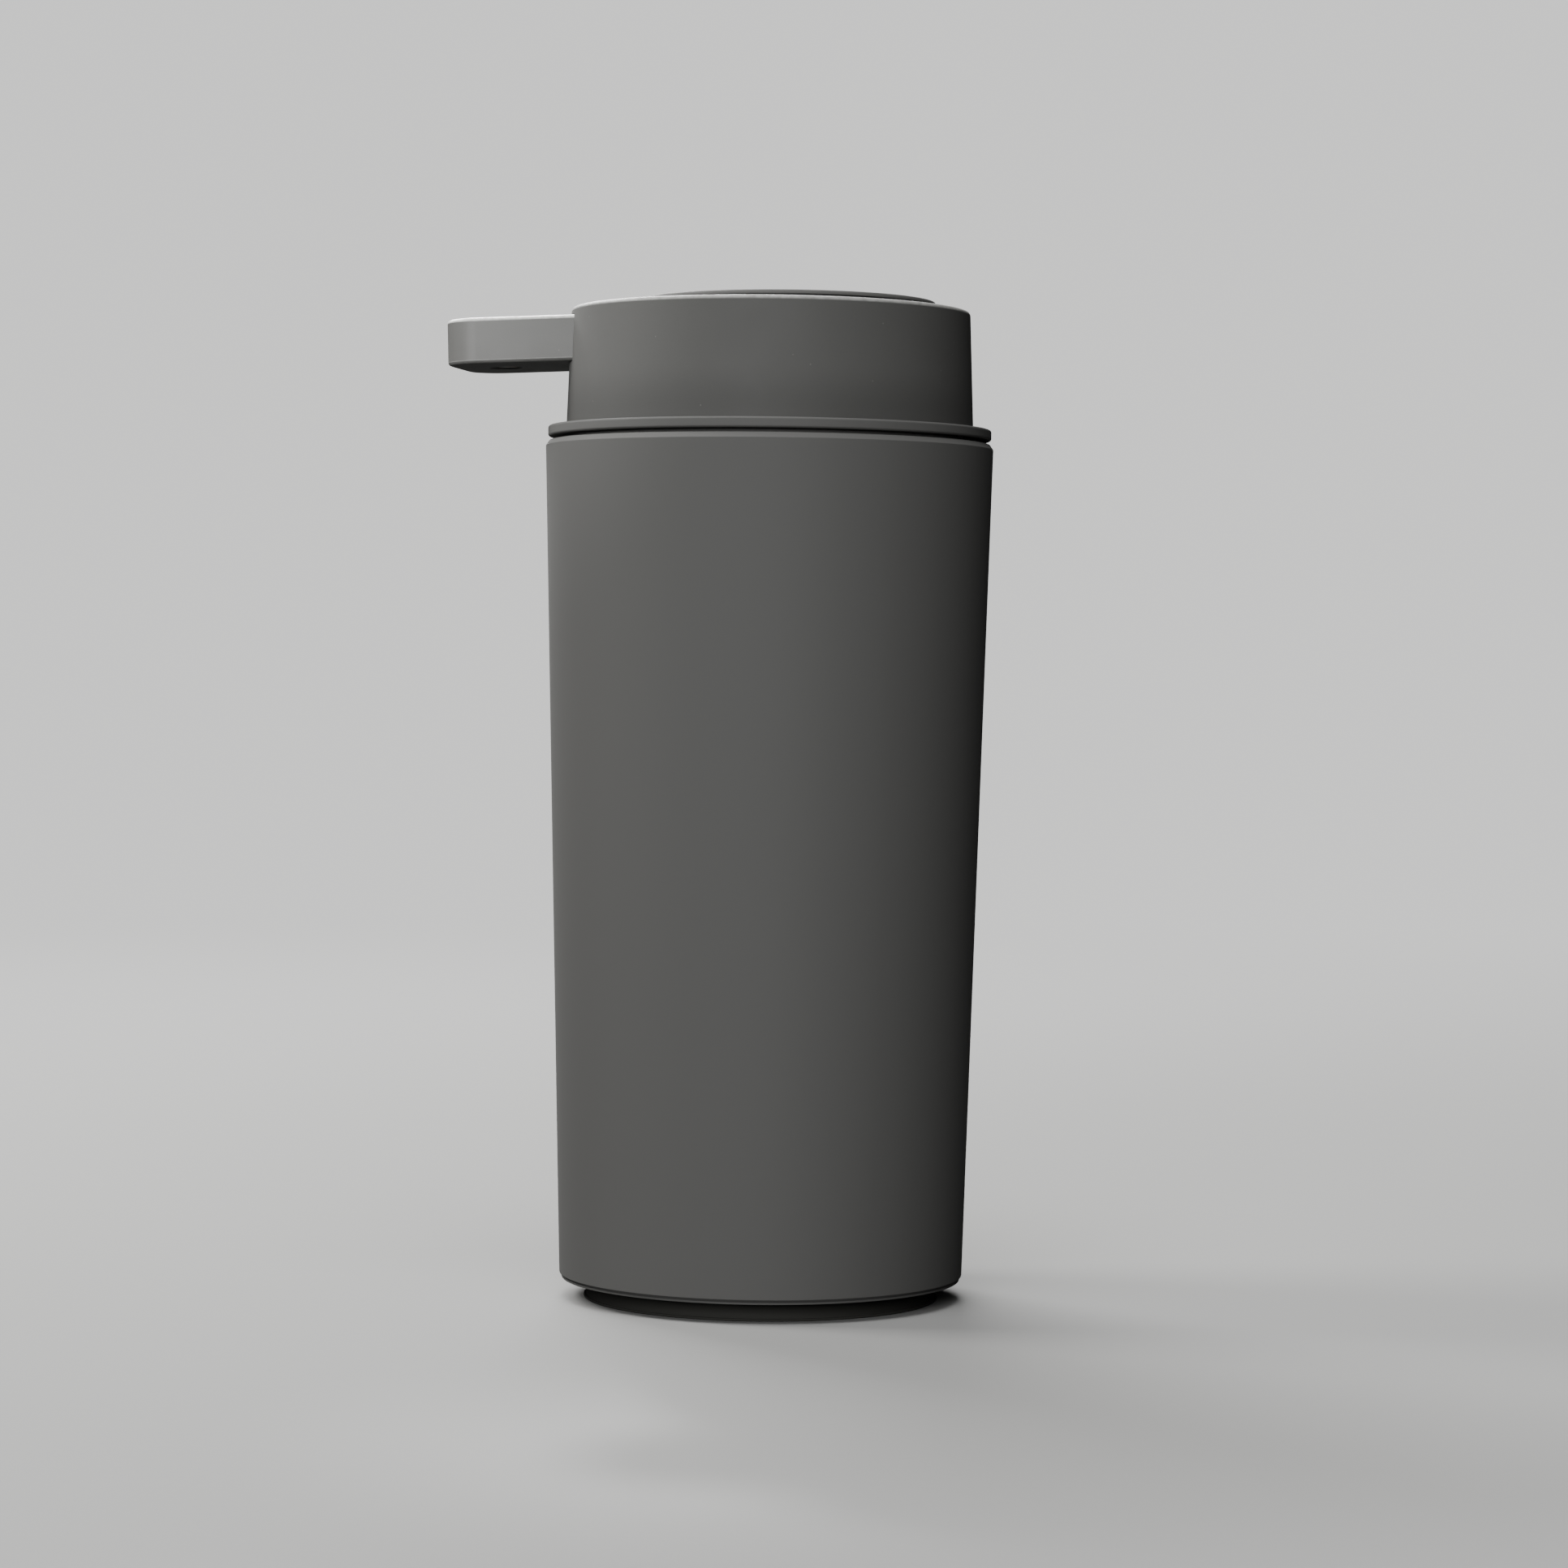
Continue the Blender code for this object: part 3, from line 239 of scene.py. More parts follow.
class PumpSettings(bpy.types.PropertyGroup):
    """Sizes of the pump's pieces."""
    bore: size("Bore", 6.4 * MM, "Radius of the barrel's bore")
    barrel_wall: size("Barrel wall", 1.1 * MM, "Wall of the barrel")
    flange: size("Flange", 1.5 * MM, "Thickness of the barrel's and the guide's flanges")
    small_round: size("Small round", 0.25 * MM, "Radius of the moulded edges")
    stem_radius: size("Stem radius", 3.5 * MM, "Outer radius of the stem")
    stem_bore: size("Stem bore", 1.2 * MM, "Radius of the stem's passage")
    guide_radius: size("Guide radius", 7.0 * MM, "Outer radius of the guide's neck")
    nut_wall: size("Nut wall", 2.2 * MM, "Wall of the retaining nut")
    nut_roof: size("Nut roof", 1.7 * MM, "Thickness of the nut's roof")
    flute_depth: size("Flute depth", 0.45 * MM, "Depth of the grip flutes around the nut")
    flute_count: count("Flutes", 36, "Grip flutes around the nut")
    tube_wall: size("Tube wall", 0.9 * MM, "Wall of the dip tube")
    tube_cut: size("Tube cut", 4.0 * MM, "Height of the slanting cut at the dip tube's mouth")
    wire_radius: size("Wire radius", 0.45 * MM, "Radius of the spring's wire")
    spring_turns: count("Open turns", 6, "Open turns of the spring")
    closed_rise: number("Closed rise", 2.1, "Rise of a closed turn, in wire radii")
    turn_steps: count("Turn steps", 36, "Facets along one turn of the spring")
    wire_sides: count("Wire sides", 14, "Facets around the spring's wire")
    inlet_clearance: size("Inlet clearance", 0.78 * MM, "Gap around the inlet ball")
    inlet_chamber: size("Inlet chamber", 4.5 * MM, "Height of the inlet valve's chamber")
    outlet_clearance: size("Outlet clearance", 0.51 * MM, "Gap around the outlet ball")
    outlet_chamber: size("Outlet chamber", 5.0 * MM, "Height of the outlet valve's chamber")
    valve_cone: size("Valve cone", 1.5 * MM, "Height of the cones that the balls rest on")
    valve_seat: share("Valve seat", 0.64, "Radius of the inlet's hole, of its ball's radius")
    tail_wall: size("Tail wall", 1.5 * MM, "Wall of the barrel's dip tube socket")
    bead_drop: size("Bead drop", 6.0 * MM, "From the barrel's flange down to its first bead")
    bead_step: size("Bead step", 20.0 * MM, "From the barrel's first bead to its second")
    shoulder_width: size("Shoulder width", 1.3 * MM, "How far the stem's shoulder stands out")
    shoulder_height: size("Shoulder height", 1.2 * MM, "Height of the stem's shoulder")
    retainer_hole: size("Retainer hole", 1.8 * MM, "Radius of the ball retainer's hole")
    gap: size("Gap", 0.3 * MM, "Gap between moving pieces")
    sides: count("Sides", 96, "Facets around the small pieces")


class FinishSettings(bpy.types.PropertyGroup):
    """Colours and roughness of the finishes."""
    soft_touch: colour("Soft touch", (0.100, 0.100, 0.096, 1.0), "Matte grey of the outer pieces")
    soft_touch_roughness: share("Soft touch roughness", 0.50, "Roughness of the outer pieces")
    foot: colour("Foot", (0.066, 0.066, 0.065, 1.0), "Black of the foot")
    seal: colour("Seal", (0.045, 0.045, 0.044, 1.0), "Dark grey of the seals")
    natural: colour("Natural plastic", (0.74, 0.74, 0.70, 1.0), "Milky white of the pump's pieces")
    tube: colour("Tube", (0.72, 0.74, 0.73, 1.0), "Tint of the dip tube")
    steel: colour("Steel", (0.60, 0.60, 0.58, 1.0), "Steel of the spring and the balls")
    dust: colour("Dust", (0.45, 0.44, 0.42, 1.0), "Specks of dust")


class StageSettings(bpy.types.PropertyGroup):
    """The camera, the floor and the lights."""
    camera_distance: size("Camera distance", 0.7854, "From the dispenser's axis to the camera")
    camera_height: size("Camera height", 0.1134, "The camera's height above the floor")
    camera_azimuth: angle("Camera azimuth", math.radians(10.0), "Turn about the axis")
    camera_yaw: angle("Camera yaw", -0.00414, "Turn away from the axis")
    camera_pitch: angle("Camera pitch", 0.02717, "Tilt below the horizon")
    camera_roll: angle("Camera roll", 0.0115, "Turn about the line of sight")
    lens: number("Lens", 100.62, "Focal length in millimetres")
    front_power: number("Front power", 14.0, "Light from the front, in watts")
    key_power: number("Key power", 4.2, "Light from the left, in watts")
    top_power: number("Top power", 22.0, "Light from above, in watts")
    back_power: number("Back power", 40.0, "Light from behind, in watts")
    accent_power: number("Accent power", 20.0, "Light on the spout's side, in watts")
    edge_power: number("Edge power", 26.0, "Light along the spout's edges, in watts")
    spot_angle: angle("Spot angle", math.radians(7.0), "Opening of the spout's two spot lights")
    spot_aim: share("Spot aim", 0.82, "Where they point, of the spout's reach")
    ambient: number("Ambient", 0.012, "Dim light from all round")
    ambient_tint: colour("Ambient tint", (0.94, 0.97, 1.0, 1.0), "Colour of that light")
    backdrop: colour("Backdrop", (0.97, 0.97, 0.96, 1.0), "Pale tone far from the dispenser")
    floor_colour: colour("Floor", (0.36, 0.36, 0.355, 1.0), "Pale tone under the dispenser")
    floor_radius: size("Floor radius", 6.0, "Radius of the floor")
    bounce: share("Bounce", 0.10, "Share of the floor's tone that it reflects on to the dispenser")
    fade_start: size("Fade start", 0.30, "Where the floor starts to fade into the backdrop")
    fade_end: size("Fade end", 1.20, "Where the floor has become the backdrop")


SETTINGS = {
    "cup": CupSettings,
    "lid": LidSettings,
    "head": HeadSettings,
    "spout": SpoutSettings,
    "pump": PumpSettings,
    "finish": FinishSettings,
    "stage": StageSettings,
}


def settings(group):
    """One group of this scene's settings."""
    return getattr(bpy.context.scene, "dispenser_" + group)


# ---------------------------------------------------------------- shapes

def corner_arc(before, corner, after, radius):
    """The points of an arc that rounds one corner of an outline."""
    towards_before = (before - corner).normalized()
    towards_after = (after - corner).normalized()
    half_angle = towards_before.angle(towards_after) / 2
    inward = (towards_before + towards_after).normalized()
    centre = corner + inward * (radius / math.sin(half_angle))
    start = corner + towards_before * (radius / math.tan(half_angle)) - centre
    end = corner + towards_after * (radius / math.tan(half_angle)) - centre
    turn = start.angle(end)
    steps = max(2, math.ceil(turn / ARC_STEP))
    points = []
    for step in range(steps + 1):
        part = step / steps
        weights = math.sin((1 - part) * turn), math.sin(part * turn)
        points.append(centre + (start * weights[0] + end * weights[1]) / math.sin(turn))
    return points


def rounded(outline):
    """The outline's points, with an arc at each corner that gives a radius as its third value."""
    points = []
    for index, entry in enumerate(outline):
        corner = Vector(entry[:2])
        if len(entry) == 2:
            points.append(corner)
            continue
        before = Vector(outline[index - 1][:2])
        after = Vector(outline[(index + 1) % len(outline)][:2])
        points.extend(corner_arc(before, corner, after, entry[2]))
    return points


def turned(outline, sides):
    """A bmesh turned about Z from an outline of (radius, height) corners."""
    body = bmesh.new()
    corners = [body.verts.new((point.x, 0.0, point.y)) for point in rounded(outline)]
    edges = [body.edges.new(pair) for pair in zip(corners, corners[1:])]
    on_axis = outline[0][0] == 0.0 and outline[-1][0] == 0.0
    if not on_axis:
        edges.append(body.edges.new((corners[-1], corners[0])))
    bmesh.ops.spin(body, geom=corners + edges, cent=(0, 0, 0), axis=(0, 0, 1), dvec=(0, 0, 0),
                   angle=math.tau, steps=sides, use_merge=True, use_duplicate=False)
    tidy(body)
    return body


def ring_outline(outer, inner, top, bottom, edge_round):
    """The outline of a plain ring, with the same radius at its four corners."""
    return [
        (outer, top, edge_round),
        (outer, bottom, edge_round),
        (inner, bottom, edge_round),
        (inner, top, edge_round),
    ]


def tidy(body):
    """Merge doubles and point the faces outwards."""
    bmesh.ops.remove_doubles(body, verts=body.verts, dist=WELD_DISTANCE)
    bmesh.ops.recalc_face_normals(body, faces=body.faces)


def block(low_corner, high_corner):
    """A bmesh box between two corners."""
    body = bmesh.new()
    bmesh.ops.create_cube(body, size=1.0)
    bmesh.ops.scale(body, vec=Vector(high_corner) - Vector(low_corner), verts=body.verts)
    bmesh.ops.translate(body, vec=(Vector(high_corner) + Vector(low_corner)) / 2, verts=body.verts)
    return body


def rod(radius, start, end, sides):
    """A bmesh cylinder between two points."""
    start = Vector(start)
    along = Vector(end) - start
    turn = Vector((0, 0, 1)).rotation_difference(along).to_matrix().to_4x4()
    body = bmesh.new()
    bmesh.ops.create_cone(body, cap_ends=True, segments=sides, radius1=radius, radius2=radius,
                          depth=along.length, matrix=Matrix.Translation(start + along / 2) @ turn)
    return body


def bevelled(body, sharpest, width, segments):
    """Round every edge of the bmesh that turns by more than the angle."""
    edges = [edge for edge in body.edges if edge.calc_face_angle(0.0) > sharpest]
    bmesh.ops.bevel(body, geom=edges, offset=width, offset_type="OFFSET", affect="EDGES",
                    segments=segments, profile=0.5, material=-1, clamp_overlap=True)


def mark_edges(body):
    """Store on each face how sharply it turns outwards, from 0 for a flat to 1 for an edge."""
    layers = body.faces.layers.float
    rubbed_and_lit = layers.get("worn_edge") or layers.new("worn_edge")
    for face in body.faces:
        turn = sum(edge.calc_face_angle_signed(0.0) * edge.calc_length() for edge in face.edges)
        bend = turn / (2 * max(face.calc_area(), WELD_DISTANCE ** 2))
        face[rubbed_and_lit] = min(1.0, max(face[rubbed_and_lit], (bend - FLAT_BEND) / EDGE_BEND))


def mesh_from(body, name):
    """A smooth-shaded mesh from the bmesh, with its hard edges kept and its worn edges marked for
    wear and a painted highlight.
    """
    mark_edges(body)
    mesh = bpy.data.meshes.new(name)
    body.to_mesh(mesh)
    body.free()
    mesh.shade_smooth()
    mesh.set_sharp_from_angle(angle=SHARP_ANGLE)
    return mesh


def link_object(name, data):
    """A new object in the scene."""
    item = bpy.data.objects.new(name, data)
    bpy.context.scene.collection.objects.link(item)
    return item


def cut(piece, tools, operation="DIFFERENCE"):
    """Cut the piece with bmesh tools, or join them to it, and keep the finished mesh."""
    for tool in tools:
        other = link_object("tool", mesh_from(tool, "tool"))
        modifier = piece.modifiers.new("Cut", "BOOLEAN")
        modifier.operation = operation
        modifier.solver = "EXACT"
        modifier.object = other
        depsgraph = bpy.context.evaluated_depsgraph_get()
        finished = bpy.data.meshes.new_from_object(piece.evaluated_get(depsgraph))
        piece.modifiers.clear()
        old = piece.data
        piece.data = finished
        finished.name = piece.name
        bpy.data.meshes.remove(old)
        bpy.data.meshes.remove(other.data)
        piece.data.set_sharp_from_angle(angle=SHARP_ANGLE)


def add_piece(body, name, rides_on, node, slot, material=None):
    """Make a piece that rides on a body, stands for a node and has its slot's material."""
    piece = link_object(name, mesh_from(body, name))
    piece.data.materials.append(material or SLOT_MATERIALS[slot]())
    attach(piece, rides_on)
    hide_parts(node)
    return piece


def weigh_normals(piece):
    """Let the large faces set the shading, so that flats stay flat beside their rounded edges."""
    modifier = piece.modifiers.new("Weighted normals", "WEIGHTED_NORMAL")
    modifier.weight = 50
    modifier.keep_sharp = True


def add_turned_piece(outline, sides, name, rides_on, node, slot):
    """Turn a piece that needs no more than its outline."""
    weigh_normals(add_piece(turned(outline, sides), name, rides_on, node, slot))


# ---------------------------------------------------------------- finishes

def new_group(name, inputs, outputs):
    """A shader node group with its sockets; returns the tree and its two end nodes."""
    tree = bpy.data.node_groups.new(name, "ShaderNodeTree")
    for label, kind, default in inputs:
        socket = tree.interface.new_socket(label, in_out="INPUT", socket_type=kind)
        if default is not None:
            socket.default_value = default
    for label, kind in outputs:
        tree.interface.new_socket(label, in_out="OUTPUT", socket_type=kind)
    return tree, tree.nodes.new("NodeGroupInput"), tree.nodes.new("NodeGroupOutput")


def add_node(tree, kind, **values):
    """A node with its plain settings."""
    node = tree.nodes.new(kind)
    for name, value in values.items():
        setattr(node, name, value)
    return node


def math_node(tree, operation, first, second, clamp=False):
    """A Math node; each operand is a socket or a number."""
    node = add_node(tree, "ShaderNodeMath", operation=operation, use_clamp=clamp)
    for socket, operand in zip(node.inputs, (first, second)):
        if isinstance(operand, (int, float)):
            socket.default_value = operand
        else:
            tree.links.new(operand, socket)
    return node.outputs[0]


def noise(tree, vector, scale, detail=2.0, roughness=0.5):
    """A Noise Texture; the scale is a socket or a number."""
    node = add_node(tree, "ShaderNodeTexNoise")
    tree.links.new(vector, node.inputs["Vector"])
    node.inputs["Detail"].default_value = detail
    node.inputs["Roughness"].default_value = roughness
    if isinstance(scale, (int, float)):
        node.inputs["Scale"].default_value = scale
    else:
        tree.links.new(scale, node.inputs["Scale"])
    return node.outputs["Fac"]


def spread(tree, value, centre, amount):
    """centre + amount * (value - 0.5)."""
    offset = math_node(tree, "SUBTRACT", value, 0.5)
    return math_node(tree, "ADD", math_node(tree, "MULTIPLY", offset, amount), centre)


def smooth_ramp(tree, value, low_end, high_end, start=0.0):
    """Rise smoothly from the start to 1 between two values."""
    node = add_node(tree, "ShaderNodeMapRange", interpolation_type="SMOOTHSTEP")
    tree.links.new(value, node.inputs["Value"])
    for label, limit in (("From Min", low_end), ("From Max", high_end), ("To Min", start)):
        node.inputs[label].default_value = limit
    return node.outputs["Result"]


def upward(tree, factor, least):
    """How much the surface faces up: factor * normal Z + least, kept between 0 and 1."""
    parts = add_node(tree, "ShaderNodeSeparateXYZ")
    tree.links.new(add_node(tree, "ShaderNodeNewGeometry").outputs["Normal"], parts.inputs[0])
    lifted = math_node(tree, "MULTIPLY", parts.outputs["Z"], factor)
    return math_node(tree, "ADD", lifted, least, clamp=True)


def scaled_colour(tree, colour_socket, factor):
    """The colour times a factor."""
    node = add_node(tree, "ShaderNodeVectorMath", operation="SCALE")
    tree.links.new(colour_socket, node.inputs[0])
    tree.links.new(factor, node.inputs["Scale"])
    return node.outputs[0]


def moulded_skin_group():
    """Fine grain, uneven tone and handling marks of a moulded plastic skin."""
    tree, given, result = new_group(
        "moulded_skin",
        [("Vector", "NodeSocketVector", None), ("Colour", "NodeSocketColor", (0.5, 0.5, 0.5, 1.0)),
         ("Roughness", "NodeSocketFloat", 0.5), ("Tone Amount", "NodeSocketFloat", 0.08),
         ("Roughness Amount", "NodeSocketFloat", 0.1), ("Grain Scale", "NodeSocketFloat", 4000.0),
         ("Patch Scale", "NodeSocketFloat", 60.0)],
        [("Colour", "NodeSocketColor"), ("Roughness", "NodeSocketFloat"),
         ("Height", "NodeSocketFloat")])
    vector = given.outputs["Vector"]
    grain = noise(tree, vector, given.outputs["Grain Scale"], 3.0, 0.6)
    pit_scale = math_node(tree, "MULTIPLY", given.outputs["Grain Scale"], PIT_SCALE)
    pits = noise(tree, vector, pit_scale, 1.0)
    patches = noise(tree, vector, given.outputs["Patch Scale"], 4.0, 0.55)
    smear_scale = math_node(tree, "MULTIPLY", given.outputs["Patch Scale"], SMEAR_SCALE)
    smears = noise(tree, vector, smear_scale, 2.0)
    fine_tone = math_node(tree, "ADD", math_node(tree, "MULTIPLY", grain, GRAIN_SHARE),
                          math_node(tree, "MULTIPLY", patches, 1.0 - GRAIN_SHARE))
    tone = spread(tree, fine_tone, 1.0, given.outputs["Tone Amount"])
    tree.links.new(scaled_colour(tree, given.outputs["Colour"], tone), result.inputs["Colour"])
    rough = spread(tree, smears, given.outputs["Roughness"], given.outputs["Roughness Amount"])
    tree.links.new(rough, result.inputs["Roughness"])
    height = math_node(tree, "ADD", grain, math_node(tree, "MULTIPLY", pits, PIT_SHARE))
    tree.links.new(height, result.inputs["Height"])
    return tree


def highlight_rub_group():
    """The edges that the mesh marks as worn, mostly the upward ones, broken up by noise: wear and a
    painted highlight where light falls on the edges.
    """
    tree, given, result = new_group(
        "edge_rub",
        [("Vector", "NodeSocketVector", None), ("Break Scale", "NodeSocketFloat", 900.0)],
        [("Mask", "NodeSocketFloat")])
    ramp = add_node(tree, "ShaderNodeAttribute", attribute_name="worn_edge").outputs["Fac"]
    broken = noise(tree, given.outputs["Vector"], given.outputs["Break Scale"], 2.0)
    reached = math_node(tree, "MULTIPLY", ramp, upward(tree, factor=1.2, least=0.3))
    mask = math_node(tree, "MULTIPLY", reached, math_node(tree, "ADD", broken, WORN_HIGHLIGHT_LIFT),
                     clamp=True)
    tree.links.new(mask, result.inputs["Mask"])
    return tree


def dust_group():
    """Sparse specks, as a mask, on what faces up."""
    tree, given, result = new_group(
        "dust_specks",
        [("Vector", "NodeSocketVector", None), ("Speck Scale", "NodeSocketFloat", 700.0),
         ("Amount", "NodeSocketFloat", 0.5)],
        [("Mask", "NodeSocketFloat")])
    cells = add_node(tree, "ShaderNodeTexVoronoi", feature="F1")
    tree.links.new(given.outputs["Vector"], cells.inputs["Vector"])
    tree.links.new(given.outputs["Speck Scale"], cells.inputs["Scale"])
    near = math_node(tree, "LESS_THAN", cells.outputs["Distance"], SPECK_RADIUS)
    pick = add_node(tree, "ShaderNodeSeparateColor")
    tree.links.new(cells.outputs["Color"], pick.inputs[0])
    rare = math_node(tree, "GREATER_THAN", pick.outputs[0], SPECK_RARITY)
    mask = math_node(tree, "MULTIPLY", math_node(tree, "MULTIPLY", near, rare),
                     upward(tree, factor=0.8, least=0.2))
    amount = math_node(tree, "MULTIPLY", mask, given.outputs["Amount"], clamp=True)
    tree.links.new(amount, result.inputs["Mask"])
    return tree


def drawn_metal_group():
    """Fine lines left by drawing or polishing, running level round the axis."""
    tree, given, result = new_group(
        "drawn_metal",
        [("Vector", "NodeSocketVector", None), ("Roughness", "NodeSocketFloat", 0.25),
         ("Stretch", "NodeSocketFloat", 9000.0)],
        [("Roughness", "NodeSocketFloat"), ("Height", "NodeSocketFloat")])
    scaled = add_node(tree, "ShaderNodeMapping")
    tree.links.new(given.outputs["Vector"], scaled.inputs["Vector"])
    scales = add_node(tree, "ShaderNodeCombineXYZ")
    scales.inputs["X"].default_value = METAL_ROUND_SCALE
    scales.inputs["Y"].default_value = METAL_ROUND_SCALE
    tree.links.new(given.outputs["Stretch"], scales.inputs["Z"])
    tree.links.new(scales.outputs[0], scaled.inputs["Scale"])
    lines = noise(tree, scaled.outputs[0], 1.0, 2.0)
    rough = spread(tree, lines, given.outputs["Roughness"], METAL_GLOSS_SPREAD)
    tree.links.new(rough, result.inputs["Roughness"])
    tree.links.new(lines, result.inputs["Height"])
    return tree


GROUP_MAKERS = {
    "moulded_skin": moulded_skin_group,
    "edge_rub": highlight_rub_group,
    "dust_specks": dust_group,
    "drawn_metal": drawn_metal_group,
}


def place_group(tree, name, vector, **values):
    """A group node fed with the vector and its own values; the group is made on first use."""
    group = bpy.data.node_groups.get(name) or GROUP_MAKERS[name]()
    node = add_node(tree, "ShaderNodeGroup", node_tree=group)
    tree.links.new(vector, node.inputs["Vector"])
    for label, value in values.items():
        node.inputs[label.replace("_", " ")].default_value = value
    return node


def blank_material(name):
    """A material with its tree, its Principled shader and the Object coordinates."""
    material = bpy.data.materials.new(name)
    material.use_nodes = True
    tree = material.node_tree
    vector = add_node(tree, "ShaderNodeTexCoord").outputs["Object"]
    return material, tree, tree.nodes["Principled BSDF"], vector


def add_bump(tree, height, shader, distance):
    """Feed the height into the shader's normal."""
    bump = add_node(tree, "ShaderNodeBump")
    bump.inputs["Distance"].default_value = distance
    bump.inputs["Strength"].default_value = 1.0
    tree.links.new(height, bump.inputs["Height"])
    tree.links.new(bump.outputs["Normal"], shader.inputs["Normal"])


def mix_colour(tree, mask, first, second):
    """Colour first where the mask is 0 and second where it is 1."""
    node = add_node(tree, "ShaderNodeMix", data_type="RGBA")
    tree.links.new(mask, node.inputs[0])
    for socket, value in ((node.inputs[6], first), (node.inputs[7], second)):
        if isinstance(value, (tuple, list)):
            socket.default_value = value
        else:
            tree.links.new(value, socket)
    return node.outputs[2]


def moulded_material(name, tone, roughness, grain_scale, grain_depth, tone_amount=0.10,
                     roughness_amount=0.12, rub_and_highlight=0.0, dust=0.0, specular=0.5, shade=None):
    """A moulded plastic or rubber: grain, uneven tone, rubbed edges lightened as wear and a painted
    highlight, and a few specks of dust.

    The shade is painted shade, darker below a height: a low and a high height and the share of the
    tone that is left below the low one.
    """
    found = bpy.data.materials.get(name)
    if found:
        return found
    material, tree, shader, vector = blank_material(name)
    skin = place_group(tree, "moulded_skin", vector, Colour=tone, Roughness=roughness,
                       Tone_Amount=tone_amount, Roughness_Amount=roughness_amount,
                       Grain_Scale=grain_scale)
    colour_now = skin.outputs["Colour"]
    roughness_now = skin.outputs["Roughness"]
    # Painted shade: the colour darkens below a height.
    if shade:
        height = add_node(tree, "ShaderNodeSeparateXYZ")
        tree.links.new(vector, height.inputs[0])
        colour_now = scaled_colour(tree, colour_now, smooth_ramp(tree, height.outputs["Z"], *shade))
    # Worn edges lightened: wear, and a painted highlight that is strongest on edges facing up.
    if rub_and_highlight:
        rubbed_and_lit = place_group(tree, "edge_rub", vector).outputs["Mask"]
        highlight_rub_tone = tuple(min(1.0, channel * (1.0 + rub_and_highlight)) for channel in tone[:3]) + (1.0,)
        colour_now = mix_colour(tree, rubbed_and_lit, colour_now, highlight_rub_tone)
        roughness_now = math_node(tree, "SUBTRACT", roughness_now,
                                  math_node(tree, "MULTIPLY", rubbed_and_lit, WORN_GLOSS), clamp=True)
    if dust:
        specks = place_group(tree, "dust_specks", vector, Amount=dust).outputs["Mask"]
        colour_now = mix_colour(tree, specks, colour_now, tuple(settings("finish").dust))
    tree.links.new(colour_now, shader.inputs["Base Color"])
    tree.links.new(roughness_now, shader.inputs["Roughness"])
    shader.inputs["Specular IOR Level"].default_value = specular
    add_bump(tree, skin.outputs["Height"], shader, grain_depth)
    return material


def soft_touch(name="soft_touch_grey", rub_and_highlight=3.0, shade=None, extra_roughness=0.0):
    """The matte soft-touch grey of the outer pieces."""
    finish = settings("finish")
    # The rub lightens the outer pieces' worn edges: wear and a painted highlight.
    return moulded_material(name, tuple(finish.soft_touch),
                            finish.soft_touch_roughness + extra_roughness, grain_scale=3600.0,
                            grain_depth=0.000012, tone_amount=0.16, rub_and_highlight=rub_and_highlight, dust=0.6,
                            specular=0.35, shade=shade)


def head_soft_touch():
    """The press head's grey, darker towards the collar, standing in for a soft shadow."""
    head = settings("head")
    start = low("press_cap").z
    reach = high("press_cap").z - start
    shade = (start + head.dark_low * reach, start + head.dark_high * reach, head.dark_tone)
    return soft_touch("soft_touch_head", shade=shade, extra_roughness=HEAD_MATT)


def spout_soft_touch():
    """The spout's grey, with its upper edges rubbed pale: wear and a painted highlight."""
    return soft_touch("soft_touch_spout", rub_and_highlight=6.0)


def foot_rubber():
    """The smooth black rubber of the foot."""
    # The rub lightens the foot's worn edges: wear and a painted highlight.
    return moulded_material("foot_rubber", tuple(settings("finish").foot),
                            roughness=0.38, grain_scale=2600.0, grain_depth=0.000015, rub_and_highlight=3.0)


def seal_rubber():
    """The dark silicone of the seals."""
    return moulded_material("seal_rubber", tuple(settings("finish").seal),
                            roughness=0.55, grain_scale=3000.0, grain_depth=0.00001)


def natural_plastic():
    """The milky, waxy plastic of the pump's own pieces."""
    material = moulded_material("natural_plastic", tuple(settings("finish").natural),
                                roughness=0.34, grain_scale=1500.0, grain_depth=0.000006,
                                tone_amount=0.05)
    shader = material.node_tree.nodes["Principled BSDF"]
    shader.inputs["Subsurface Weight"].default_value = 0.15
    shader.inputs["Subsurface Scale"].default_value = 0.002
    return material


def tube_plastic():
    """The see-through plastic of the dip tube."""
    material = moulded_material("clear_tube", tuple(settings("finish").tube),
                                roughness=0.16, grain_scale=900.0, grain_depth=0.000004,
                                tone_amount=0.04)
    shader = material.node_tree.nodes["Principled BSDF"]
    shader.inputs["Transmission Weight"].default_value = 0.55
    shader.inputs["IOR"].default_value = 1.45
    return material


def steel():
    """The drawn stainless steel of the spring and the balls."""
    found = bpy.data.materials.get("spring_steel")
    if found:
        return found
    material, tree, shader, vector = blank_material("spring_steel")
    metal = place_group(tree, "drawn_metal", vector)
    stain = noise(tree, vector, scale=400.0, detail=3.0)
    light = tuple(settings("finish").steel)
    dark = tuple(channel * STAIN_TONE for channel in light[:3]) + (1.0,)
    tree.links.new(mix_colour(tree, stain, light, dark), shader.inputs["Base Color"])
    tree.links.new(metal.outputs["Roughness"], shader.inputs["Roughness"])
    shader.inputs["Metallic"].default_value = 1.0
    add_bump(tree, metal.outputs["Height"], shader, distance=0.000004)
    return material


SLOT_MATERIALS = {
    "soft_touch_grey": soft_touch,
    "foot_rubber": foot_rubber,
    "seal_rubber": seal_rubber,
    "natural_plastic": natural_plastic,
    "clear_tube": tube_plastic,
    "spring_steel": steel,
}


# ---------------------------------------------------------------- cup and foot

